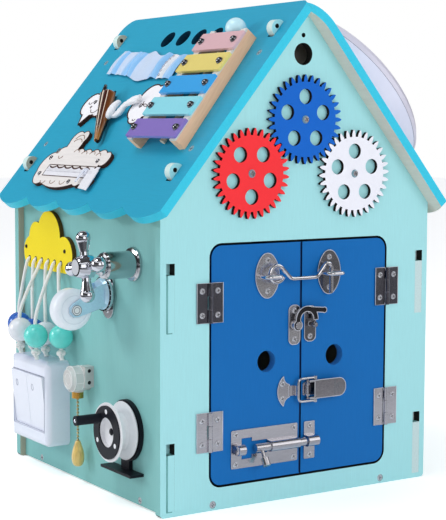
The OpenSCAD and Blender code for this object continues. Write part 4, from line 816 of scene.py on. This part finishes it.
braid = add_mesh("braid_yarn", *join_parts(braid_parts), [yarn])
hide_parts("braid")

# Fluted jaw of the hair clip, narrowing to its tip
CLIP_TURN = math.radians(34)
CLIP_LEN = 70.0
CLIP_FLUTES = 5
FLUTE_DEEP = 0.45
JAW_TIP = 1.6
JAW_SPREAD = 7.4
JAW_HIGH = 13.4
JAW_LOW = 2.4
JAW_S = 40
JAW_T = 40
JAW_THICK = 0.0012
JAW_TAB_R = [2.6, 2.6, 2.4, 1.8]
clip_across = math.cos(CLIP_TURN) * FRONT + math.sin(CLIP_TURN) * UPHILL
clip_along = math.sin(CLIP_TURN) * FRONT - math.cos(CLIP_TURN) * UPHILL
clip_start = roof_point(124, 222, 4)
jaw_verts = []
for i in range(JAW_S + 1):
    s = i / JAW_S
    half = JAW_TIP + JAW_SPREAD * (1.0 - s) ** 0.9
    crown = JAW_HIGH - 1.2 * s - 7.4 * s ** 1.3
    lowest = JAW_LOW + 2.0 * max(0.0, 1.0 - 5.0 * s)
    for j in range(JAW_T + 1):
        t = -1.0 + 2.0 * j / JAW_T
        drop = (crown - lowest) * (0.5 * t * t + 0.5 * abs(t) ** 7)
        flute = FLUTE_DEEP * abs(math.sin(math.pi * CLIP_FLUTES * (t + 1.0) / 2.0)) * (1.0 - s)
        jaw_verts.append(clip_start + clip_along * (CLIP_LEN * s) + clip_across * (half * t)
                         + ROOF_OUT * (crown - drop + flute))
jaw = add_mesh("clip_jaw_shell", jaw_verts, grid_faces(JAW_S, JAW_T, True), [shell], "clip_jaw")
jaw_uv = jaw.data.uv_layers.new(name="stripes")
for loop in jaw.data.loops:
    row, column = divmod(loop.vertex_index, JAW_T + 1)
    jaw_uv.data[loop.index].uv = (column / JAW_T, row / JAW_S)
jaw_tab_line = [clip_start - clip_along * v + ROOF_OUT * (12.4 + 0.06 * v) for v in (-3.0, 2.0, 6.0, 10.5)]
jaw_tab = add_mesh("clip_jaw_tab", *sweep(jaw_tab_line, JAW_TAB_R, 12), [clip_black], "clip_jaw")
thick = jaw.modifiers.new("thickness", "SOLIDIFY")
thick.thickness = JAW_THICK
thick.offset = -1.0
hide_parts("clip_jaw")
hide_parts("clip_jaw")

# Ball chain and turned bob of the pull switch
PULL_Y = 158.5
CHAIN_BALLS = 13
CHAIN_R = 1.45
CHAIN_LOW = 46.6
CHAIN_STEP = 3.5
LINK_R = 0.45
chain_x = wall_point(11, PULL_Y, 0)
chain_ball = [(max(0.02, CHAIN_R * math.sin(q)), CHAIN_R * math.cos(q)) for q in np.linspace(0, math.pi, 9)]
chain_parts = [lathe(chain_ball, chain_x + UPRIGHT * (CHAIN_LOW + CHAIN_STEP * k), UPRIGHT, 14)
               for k in range(CHAIN_BALLS)]
chain_parts.append(lathe([(LINK_R, 46.0), (LINK_R, 92.0)], chain_x, UPRIGHT, 8))
chain = add_mesh("ball_chain", *join_parts(chain_parts), [chain_metal], "pull_chain")
bob_profile = [(0.05, 19.0), (2.2, 19.2), (3.6, 19.8), (5.0, 21.2), (6.0, 23.6), (6.55, 27.0), (6.5, 31.0),
               (5.8, 35.0), (4.7, 39.0), (3.7, 42.0), (2.9, 44.4), (2.5, 45.5), (0.05, 45.6)]
bob = add_mesh("pull_bob", *lathe(bob_profile, chain_x, UPRIGHT, 40), [bob_wood], "pull_chain")
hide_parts("pull_chain")
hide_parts("pull_chain")

# Dots, hub and knob screw of the reel
REEL_AT = (72.0, 71.2)
DOT_RING = 20.3
dots = []
for k in range(3):
    a = math.radians(90 + 120 * k)
    p = wall_point(24.95, REEL_AT[0] - DOT_RING * math.cos(a), REEL_AT[1] + DOT_RING * math.sin(a))
    dots.append(lathe([(0.05, 0.12), (2.1, 0.1), (2.4, -0.05)], p, OUT, 20))
dressing("reel_dots", dots, reel_white, "reel_spool")
hub = lathe([(0.05, 1.4), (2.6, 1.2), (3.4, 0.6), (3.5, 0.05)], wall_point(18.8, *REEL_AT), OUT, 24)
dressing("reel_hub", [hub], black_plastic, "reel_spool")
knob_head = lathe([(0.05, 0.9), (1.3, 0.7), (2.0, 0.05)], wall_point(51.5, 85.0, 83.2), OUT, 20)
dressing("reel_knob_screw", [knob_head], chrome, "reel_spool")

# Rings of the tap and the caster, the dark and grey ones as painted shade, with the caster's balls
disc_ring = ring_at(wall_point(62.35, 61, 234), OUT, 7.35, 0.45)
dressing("tap_disc_ring", [disc_ring], shade_ring_dark, "tap_handle")
WHEEL_FACE = 8.5
NUT_FACE = 13.5
wheel_ring = ring_at(AXLE + FRONT * WHEEL_FACE, BACK, 14.0, 0.35)
dressing("wheel_rings", [wheel_ring], wheel_groove_shade, "caster_wheel")
nut_rings = [ring_at(AXLE + FRONT * NUT_FACE, BACK, r, 0.32) for r in (3.0, 4.9)]
dressing("axle_ring", nut_rings, shade_ring_grey, "caster_fork")
SWIVEL = (111.0, 201.0)
BALL_RING = 17.1
BALLS = 20
gap_ring = ring_at(wall_point(7.4, *SWIVEL), OUT, 16.4, 1.0)
dressing("caster_gap", [gap_ring], shade_ring_dark, "caster_fork")
ball = [(0.05, 0.5), (0.4, 0.35), (0.5, 0.0), (0.4, -0.35), (0.05, -0.5)]
balls = [lathe(ball, spot, OUT, 10)
         for spot in oval(wall_point(7.6, *SWIVEL), BALL_RING * BACK, BALL_RING * UPRIGHT, BALLS)]
dressing("caster_balls", balls, zinc_painted_highlight, "caster_fork")

# Ribs of the pull switch, with dark discs at its screw holes and dark rims at the cord holes as painted
# shade
PULL_Z = 110.0
PULL_R = 13.0
RIBS = 8
ribs = [ring_at(wall_point(off, PULL_Y, PULL_Z), OUT, r, tube)
        for off, r, tube in ((19.0, PULL_R, 0.5), (22.0, 9.8, 0.45), (22.0, 6.0, 0.4), (10.0, PULL_R, 0.4))]
for k in range(RIBS):
    q = TURN * (k + 0.3) / RIBS
    y, z = PULL_Y + PULL_R * math.cos(q), PULL_Z + PULL_R * math.sin(q)
    ribs.append(sweep([wall_point(off, y, z) for off in (1.0, 10.0, 18.5)], 0.4, 6))
dressing("pull_switch_ribs", ribs, rib_clear)
holes = [lathe([(0.05, 0.0), (1.95, 0.0)], wall_point(5.0, 144.5, z), FRONT, 20) for z in (107.0, 119.0)]
dressing("pull_switch_holes", holes, shade_ring_dark)
hole_rims = [ring_at(wall_point(5.02, y, HOLE_Z), OUT, 2.5, 0.4, 20) for y in hole_y]
dressing("cord_hole_rims", hole_rims, shade_ring_dark)

# Seams of the switch as painted shade lines, and its oval marks
SWITCH_AT = (241.0, 76.3)
SWITCH_OUT = 27.0
POCKET = (37.6, 29.6)
SEAM_R = 0.2
ROCKER_OUT = 24.42
ROCKER_T = 2.5
ROCKER_TILT = math.radians(6)
MARK_HALF = (2.2, 3.4)
MARK_UP = 15.6
MARK_R = 0.28
pocket_edge = [wall_point(SWITCH_OUT, SWITCH_AT[0] + a * POCKET[0], SWITCH_AT[1] + b * POCKET[1])
               for a, b in ((-1, -1), (1, -1), (1, 1), (-1, 1))]
seams = [sweep([pocket_edge[k - 1], pocket_edge[k]], SEAM_R, 6) for k in range(4)]
dressing("switch_seam", seams, seam_shade_and_lace_grey)
rocker_up = math.cos(ROCKER_TILT) * UPRIGHT + math.sin(ROCKER_TILT) * OUT
rocker_out = math.cos(ROCKER_TILT) * OUT - math.sin(ROCKER_TILT) * UPRIGHT
for name, y in (("rocker_left", 266.0), ("rocker_right", 228.5)):
    spot = wall_point(ROCKER_OUT, y, SWITCH_AT[1]) + rocker_out * ROCKER_T + rocker_up * MARK_UP
    ring = oval(spot, MARK_HALF[0] * BACK, MARK_HALF[1] * rocker_up, 40)
    dressing(name + "_mark", [sweep(ring, MARK_R, 6, True)], grey_mark, name)


# How near a corner lies to the level of its face
SAME_LEVEL = 0.2
ON_FACE = 0.05


# A tube along the edges of a solid's flat face at the height top in the direction out
def rim(node, out, top, radius, mat, body="house", skip=None):
    me = nodes[node].data
    co = np.array([v.co for v in me.vertices]) * 1000.0
    keys = [tuple(k) for k in np.round(co, 2)]
    count = {}
    for q in me.polygons:
        level = float((co[q.vertices[0]] * out).sum())
        inside = skip is not None and skip(np.array(q.center) * 1000.0)
        if q.normal @ Vector(out) > FLAT and abs(level - top) < SAME_LEVEL and not inside:
            ring = [keys[i] for i in q.vertices]
            for i, j in zip(ring, ring[1:] + ring[:1]):
                e = (min(i, j), max(i, j))
                count[e] = count.get(e, 0) + 1
    after = {}
    for (i, j), k in count.items():
        if k == 1:
            after.setdefault(i, []).append(j)
            after.setdefault(j, []).append(i)
    parts = []
    used = set()
    for first in after:
        if first in used:
            continue
        loop = [first]
        used.add(first)
        while True:
            steps = [q for q in after[loop[-1]] if q not in used]
            if not steps:
                break
            loop.append(steps[0])
            used.add(steps[0])
        if len(loop) > 3:
            parts.append(sweep(np.array(loop), radius, 6, True))
    dressing(node + "_rim", parts, mat, body)


# Edges, scallops and burnt drawing lines of the plywood figures
FIG_T = 4.0
FIG_TOP = float(roof_point(0, 0, FIG_T) @ ROOF_OUT)
LINE_LIFT = 4.06
LINE_R = 0.42
SCALLOP_Y = (149.5, 253.0)
SCALLOPS = 6
SLOT_TOP = 213.5
SCALLOP_DEEP = 3.0
SCALLOP_LIFT = 4.03
ZIP_TEETH = 66
TOOTH_STEP = 1.54
ZIP_MID = 220.75


def in_zip_slot(c):
    u = (APEX - c[2]) * SIN - c[0] * COS
    return between(u, ZIP_SLOT) and c[1] < ZIP_END


rim("white_figure", ROOF_OUT, FIG_TOP, 0.8, fig_edge)
rim("zip_figure", ROOF_OUT, FIG_TOP, 0.5, fig_edge, skip=in_zip_slot)
edge_u = []
edge_y = []
for k in range(SCALLOPS):
    for q in np.linspace(0.0, math.pi, 13)[:-1]:
        edge_u.append(SLOT_TOP + 0.3 + SCALLOP_DEEP * math.sin(q) ** 0.6)
        edge_y.append(SCALLOP_Y[0] + (SCALLOP_Y[1] - SCALLOP_Y[0]) * (k + q / math.pi) / SCALLOPS)
scallop_v = [roof_point(SLOT_TOP - 0.4, y, SCALLOP_LIFT) for y in edge_y]
scallop_v += [roof_point(u, y, SCALLOP_LIFT) for u, y in zip(edge_u, edge_y)]
scallop_f = [(i + 1, i, len(edge_y) + i, len(edge_y) + i + 1) for i in range(len(edge_y) - 1)]
dressing("zip_scallops", [(scallop_v, scallop_f)], fig_ply)
scallop_line = sweep([roof_point(u + 0.35, y, 3.7) for u, y in zip(edge_u, edge_y)], 1.0, 8)
dressing("zip_scallop_edge", [scallop_line], fig_edge)


def roof_lines(name, lines, mat):
    paths = [smooth_path([roof_point(u, y, LINE_LIFT) for u, y in pts], 6) for pts in lines]
    dressing(name, [sweep(path, LINE_R, 6) for path in paths], mat)


def arc(u, y, r, a0, a1, n=9):
    return [(u - r * math.sin(a), y - r * math.cos(a)) for a in np.radians(np.linspace(a0, a1, n))]


zip_lines = [arc(195, 258, 3.2, 0, 350, 14), arc(200, 244, 5, 200, 340), arc(198, 215, 6, 20, 160),
             arc(200, 196, 6, 20, 160), arc(200, 178, 6, 20, 160), arc(201, 163, 5, 20, 160),
             arc(184, 229, 11, 30, 150), arc(190, 229, 12, 40, 140), arc(233, 244, 6, 200, 340),
             arc(232, 222, 6, 200, 340), arc(232, 200, 6, 200, 340)]
roof_lines("zip_figure_lines", zip_lines, fig_line)
white_lines = [arc(126, 266, 4, 200, 340), arc(134, 258, 1.4, 0, 340, 9), arc(133, 246, 9, 210, 330),
               arc(124, 140, 10, 200, 320), arc(140, 143, 9, 20, 150), arc(150, 144, 3, 200, 340)]
roof_lines("white_figure_lines", white_lines, fig_edge)

# Zip teeth in two staggered rows
teeth = []
for k in range(ZIP_TEETH):
    y = 151.0 + TOOTH_STEP * k
    for u, stagger in ((ZIP_MID - 0.75, 0.0), (ZIP_MID + 0.75, TOOTH_STEP / 2)):
        tooth_at = roof_point(u, y + stagger, 5.02)
        teeth.append(lathe([(0.05, 0.28), (0.62, 0.22), (0.78, -0.1)], tooth_at, ROOF_OUT, 6))
dressing("zip_teeth", teeth, tape_white)

# Painted highlights: bright tubes along the rounded edges of the door fittings
EDGE_R = 0.38
LEAF_T = 1.2
ARM_TOP = 7.4
LEVER_TOP = 7.8
for node, level, slot, body in (("swing_latch_arm", ARM_TOP, "zinc_steel", "swing_latch_arm"),
                                ("swing_latch_plate", LEAF_T, "zinc_steel", "left_door"),
                                ("swing_latch_catch", LEAF_T, "zinc_steel", "right_door"),
                                ("toggle_keeper", LEAF_T, "chrome", "left_door"),
                                ("toggle_lever", LEVER_TOP, "chrome", "toggle_lever")):
    rim(node, FRONT, level, EDGE_R, painted_highlight_edge, body)


# The outer line around points in a plane
def hull(points):
    points = sorted(points)
    sides = []
    for run in (points, points[::-1]):
        side = []
        for q in run:
            while len(side) > 1 and ((side[-1][0] - side[-2][0]) * (q[1] - side[-2][1])
                                     - (side[-1][1] - side[-2][1]) * (q[0] - side[-2][0])) <= 0.01:
                side.pop()
            side.append(q)
        sides += side[:-1]
    return sides


# A painted highlight tube around each plate of a node; each group holds the ends of one plate in X and in Z
def plate_rim(node, body, groups):
    co = np.array([v.co for v in nodes[node].data.vertices]) * 1000.0
    flat = co[np.abs(co[:, 1] + LEAF_T) < ON_FACE]
    parts = []
    for side, part in groups:
        inside = between(flat[:, 0], side) & between(flat[:, 2], part)
        line = hull({(round(float(q[0]), 2), round(float(q[2]), 2)) for q in flat[inside]})
        parts.append(sweep([(x, -LEAF_T, z) for x, z in line], EDGE_R, 6, True))
    dressing(node + "_rim", parts, painted_highlight_edge, body)


LEFT_SIDE = (-200.0, 0.0)
RIGHT_SIDE = (0.0, 200.0)
LOWER = (0.0, 140.0)
UPPER = (140.0, 300.0)
left_leaves = [(LEFT_SIDE, LOWER), (LEFT_SIDE, UPPER)]
right_leaves = [(RIGHT_SIDE, LOWER), (RIGHT_SIDE, UPPER)]
plate_rim("cabin_hook_staple", "left_door", left_leaves[1:])
plate_rim("cabin_hook_eye", "right_door", right_leaves[1:])
plate_rim("left_hinge_leaves", "left_door", left_leaves)
plate_rim("right_hinge_leaves", "right_door", right_leaves)
plate_rim("hinge_frame_leaves", "house", left_leaves + right_leaves)

# Shade lines of the left wall's tabs in the front panel
TAB_LOW = (5.0, 174.0)
TAB_TALL = 54.0
TAB_FOOT = 6.5
TAB_X = -WALL + 0.9
TAB_Y = 2.82
TAB_SHADE_R = 3.0
FOOT_X = -WALL + 0.4
FOOT_Y = 0.95
FOOT_R = 1.1
tab_lines = []
for low in TAB_LOW:
    tab_lines.append(sweep([(TAB_X, TAB_Y, low), (TAB_X, TAB_Y, low + TAB_TALL)], TAB_SHADE_R, 48))
    tab_lines.append(sweep([(FOOT_X, FOOT_Y, low), (-WALL + TAB_FOOT, FOOT_Y, low)], FOOT_R, 24))
dressing("left_tab_shade", tab_lines, tab_shade)

# Painted shade: a dark line where the doors meet
LINE_X = -1.2
LINE_Y = 0.78
LINE_ENDS = (DOOR_Z[0] + 0.7, DOOR_Z[1] - 0.7)
LINE_TUBE = 0.9
door_gap_shade = sweep([(LINE_X, LINE_Y, z) for z in LINE_ENDS], LINE_TUBE, 24)
dressing("door_gap_shade", [door_gap_shade], door_edge_shade_blue, "left_door")

# Pad of the toggle lever, outlined with painted shade lines
PAD_AT = np.array([43.3, -LEVER_TOP, 107.7])
SEAM_AT = np.array([36.8, -7.75, 107.7])
SEAM_HALF = UPRIGHT * 8.2
pad_rings = [ring_at(PAD_AT, BACK, r, 0.2, 28) for r in (2.6, 4.6)]
pad_rings.append(sweep([SEAM_AT - SEAM_HALF, SEAM_AT + SEAM_HALF], 0.3, 8))
dressing("toggle_pad", pad_rings, shade_ring_grey, "toggle_lever")

# Clock seam as a painted shade line, ticks and plain numbers
CLOCK = far_point(*CLOCK_AT, 27.0)
CLOCK_Y = -FAR_DOWN
CASE_R = 107.0
TICK_OUT = 87.0
NUMBER_R = 65.0
NUMBER_SIZE = 0.017
INK_LIFT = 0.08
NUMBER_LIFT = 0.1
seam_ring = ring_at(far_point(*CLOCK_AT, 24.0), FAR_OUT, CASE_R, 0.3, 96)
dressing("clock_seam", [seam_ring], seam_shade_and_lace_grey)
ticks_v = []
ticks_f = []
for k, a in enumerate(turns(60)):
    d = math.sin(a) * BACK + math.cos(a) * CLOCK_Y
    e = math.cos(a) * BACK - math.sin(a) * CLOCK_Y
    inner, wide = (78.0, 1.3) if k % 5 == 0 else (82.0, 0.5)
    for r, s in ((inner, -wide), (inner, wide), (TICK_OUT, wide), (TICK_OUT, -wide)):
        ticks_v.append(CLOCK + d * r + e * s + FAR_OUT * INK_LIFT)
    ticks_f.append(range(4 * k, 4 * k + 4))
ticks = add_mesh("clock_ticks", ticks_v, ticks_f, [ink], smooth=False)
dial_turn = Matrix([list(BACK), list(CLOCK_Y), list(FAR_OUT)]).transposed().to_4x4()
for k in range(12):
    text = bpy.data.curves.new("number_%d" % (k + 1), "FONT")
    text.body = str(k + 1)
    text.size = NUMBER_SIZE
    text.align_x = "CENTER"
    text.align_y = "CENTER"
    a = math.radians(30 * (k + 1))
    spot = CLOCK + NUMBER_R * (math.sin(a) * BACK + math.cos(a) * CLOCK_Y) + FAR_OUT * NUMBER_LIFT
    holder = place("number_text", text)
    bpy.context.view_layer.update()
    flat = bpy.data.meshes.new_from_object(holder.evaluated_get(bpy.context.evaluated_depsgraph_get()))
    bpy.data.objects.remove(holder)
    flat.transform(Matrix.Translation(Vector(spot / 1000.0)) @ dial_turn)
    flat.materials.clear()
    flat.materials.append(ink)
    number = place("clock_number_%d" % (k + 1), flat)
    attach(number, "house")

# Floor: plain and pale; glossy rays alone see dark and pale strips, as the metal in the photo does
WHITE = (1.0, 1.0, 1.0, 1.0)
FLOOR_TONE = (0.956, 0.956, 0.956, 1.0)
FLOOR_GLOW = 0.42
FLOOR_FRONT = -2.4
FLOOR_LEFT = (-0.55, -0.9)
FLOOR_DARK = (0.05, 0.05, 0.055, 1.0)
FLOOR_ENDS = [(-6, -6, 0), (6, -6, 0), (6, 8, 0), (-6, 8, 0)]
FLOOR_STRIPS = [(0.0, 1.0), (0.05, 0.66), (0.08, 0.62), (0.13, 0.85), (0.18, 0.5), (0.28, 0.28),
                (0.4, 0.14), (0.5, 0.1), (0.6, 0.02), (0.76, 0.02), (0.8, 0.3), (0.85, 0.95),
                (0.9, 0.6), (0.95, 0.2), (1.0, 0.06)]
COOL = 1.02


def greys(stops):
    return [(at, (level, level, level * COOL, 1.0)) for at, level in stops]


def map_range(tree, low, high):
    return add_node(tree, "MapRange", {"From Min": low, "From Max": high})


floor_mat = surface("floor", (250, 250, 250), 0.7)
tree = floor_mat.node_tree.nodes
floor_skin = tree["Principled BSDF"]
floor_skin.inputs["Emission Color"].default_value = WHITE
floor_rays = add_node(tree, "LightPath")
glow = add_node(tree, "Math", {1: FLOOR_GLOW})
glow.operation = "MULTIPLY"
floor_at = add_node(tree, "TexCoord")
floor_split = add_node(tree, "SeparateXYZ")
floor_front = map_range(tree, 0.0, FLOOR_FRONT)
floor_left = map_range(tree, *FLOOR_LEFT)
floor_strips = add_node(tree, "ValToRGB")
set_stops(floor_strips, greys(FLOOR_STRIPS))
floor_dim = colour_mix(tree, {MIX_B: FLOOR_DARK})
floor_mix = colour_mix(tree, {MIX_A: FLOOR_TONE})
wire(floor_mat, [(floor_rays, "Is Camera Ray", glow, 0),
                 (glow, "Value", floor_skin, "Emission Strength"),
                 (floor_at, "Object", floor_split, "Vector"), (floor_split, "Y", floor_front, "Value"),
                 (floor_front, "Result", floor_strips, "Fac"), (floor_split, "X", floor_left, "Value"),
                 (floor_left, "Result", floor_dim, "Factor"), (floor_strips, "Color", floor_dim, MIX_A),
                 (floor_dim, MIX_OUT, floor_mix, MIX_B),
                 (floor_rays, "Is Glossy Ray", floor_mix, "Factor"),
                 (floor_mix, MIX_OUT, floor_skin, "Base Color")])
floor_me = bpy.data.meshes.new("floor")
floor_me.from_pydata(FLOOR_ENDS, [], [(0, 1, 2, 3)])
floor_me.materials.append(floor_mat)
floor = place("floor", floor_me)

# World: a white backdrop, soft fill light, and bands with bright boxes that glossy rays alone see
FILL_COLOUR = (0.95, 0.98, 1.03, 1.0)
FILL = 0.57
CARDS = 1.5
BANDS = [(0.0, 0.3), (0.06, 0.1), (0.12, 0.04), (0.56, 0.04), (0.62, 0.7), (0.7, 0.75), (0.75, 0.04),
         (1.0, 0.06)]
BOXES = [(-0.81, 0.58, 0.12), (-0.1, -0.95, 0.2), (0.75, -0.6, 0.3)]
BOX_EDGE = (0.93, 0.95)
world = bpy.data.worlds.new("studio")
bpy.context.scene.world = world
world.use_nodes = True
tree = world.node_tree.nodes
fill = tree["Background"]
fill.inputs["Color"].default_value = FILL_COLOUR
fill.inputs["Strength"].default_value = FILL
backdrop = add_node(tree, "Background", {"Color": WHITE, "Strength": 1.0})
cards = add_node(tree, "Background", {"Strength": CARDS})
aim = add_node(tree, "TexCoord")
split = add_node(tree, "SeparateXYZ")
bands = add_node(tree, "ValToRGB")
set_stops(bands, greys(BANDS))
rays = add_node(tree, "LightPath")
seen = add_node(tree, "Math")
seen.operation = "MAXIMUM"
mirror_mix = add_node(tree, "MixShader")
camera_mix = add_node(tree, "MixShader")
wire(world, [(aim, "Generated", split, "Vector"), (split, "Z", bands, "Fac")])
last, last_out = bands, "Color"
for box in BOXES:
    near = add_node(tree, "VectorMath", {1: Vector(box).normalized()})
    near.operation = "DOT_PRODUCT"
    shine = map_range(tree, *BOX_EDGE)
    add = colour_mix(tree, {MIX_B: WHITE})
    wire(world, [(aim, "Generated", near, 0), (near, "Value", shine, "Value"),
                 (shine, "Result", add, "Factor"), (last, last_out, add, MIX_A)])
    last, last_out = add, MIX_OUT
wire(world, [(last, last_out, cards, "Color"), (rays, "Is Glossy Ray", mirror_mix, "Fac"),
             (fill, "Background", mirror_mix, 1), (cards, "Background", mirror_mix, 2),
             (rays, "Is Camera Ray", seen, 0), (rays, "Is Transmission Ray", seen, 1),
             (seen, "Value", camera_mix, "Fac"), (mirror_mix, "Shader", camera_mix, 1),
             (backdrop, "Background", camera_mix, 2),
             (camera_mix, "Shader", tree["World Output"], "Surface")])


# Studio lights: place, aim, size and power
def area_light(name, at, to, size, energy):
    lamp = bpy.data.lights.new(name, "AREA")
    lamp.energy = energy
    lamp.size = size
    ob = place(name, lamp)
    ob.location = at
    ob.rotation_euler = (Vector(to) - Vector(at)).to_track_quat("-Z", "Y").to_euler()
    return ob


key = area_light("key", (0.35, -2.3, 0.95), (0.0, 0.1, 0.25), 1.6, 20.0)
key.visible_glossy = False
area_light("side", (-1.5, 1.15, 0.75), (-0.1, 0.15, 0.25), 0.45, 7.4)
area_light("top", (-1.1, 0.2, 2.2), (-0.1, 0.15, 0.35), 0.9, 12.0)
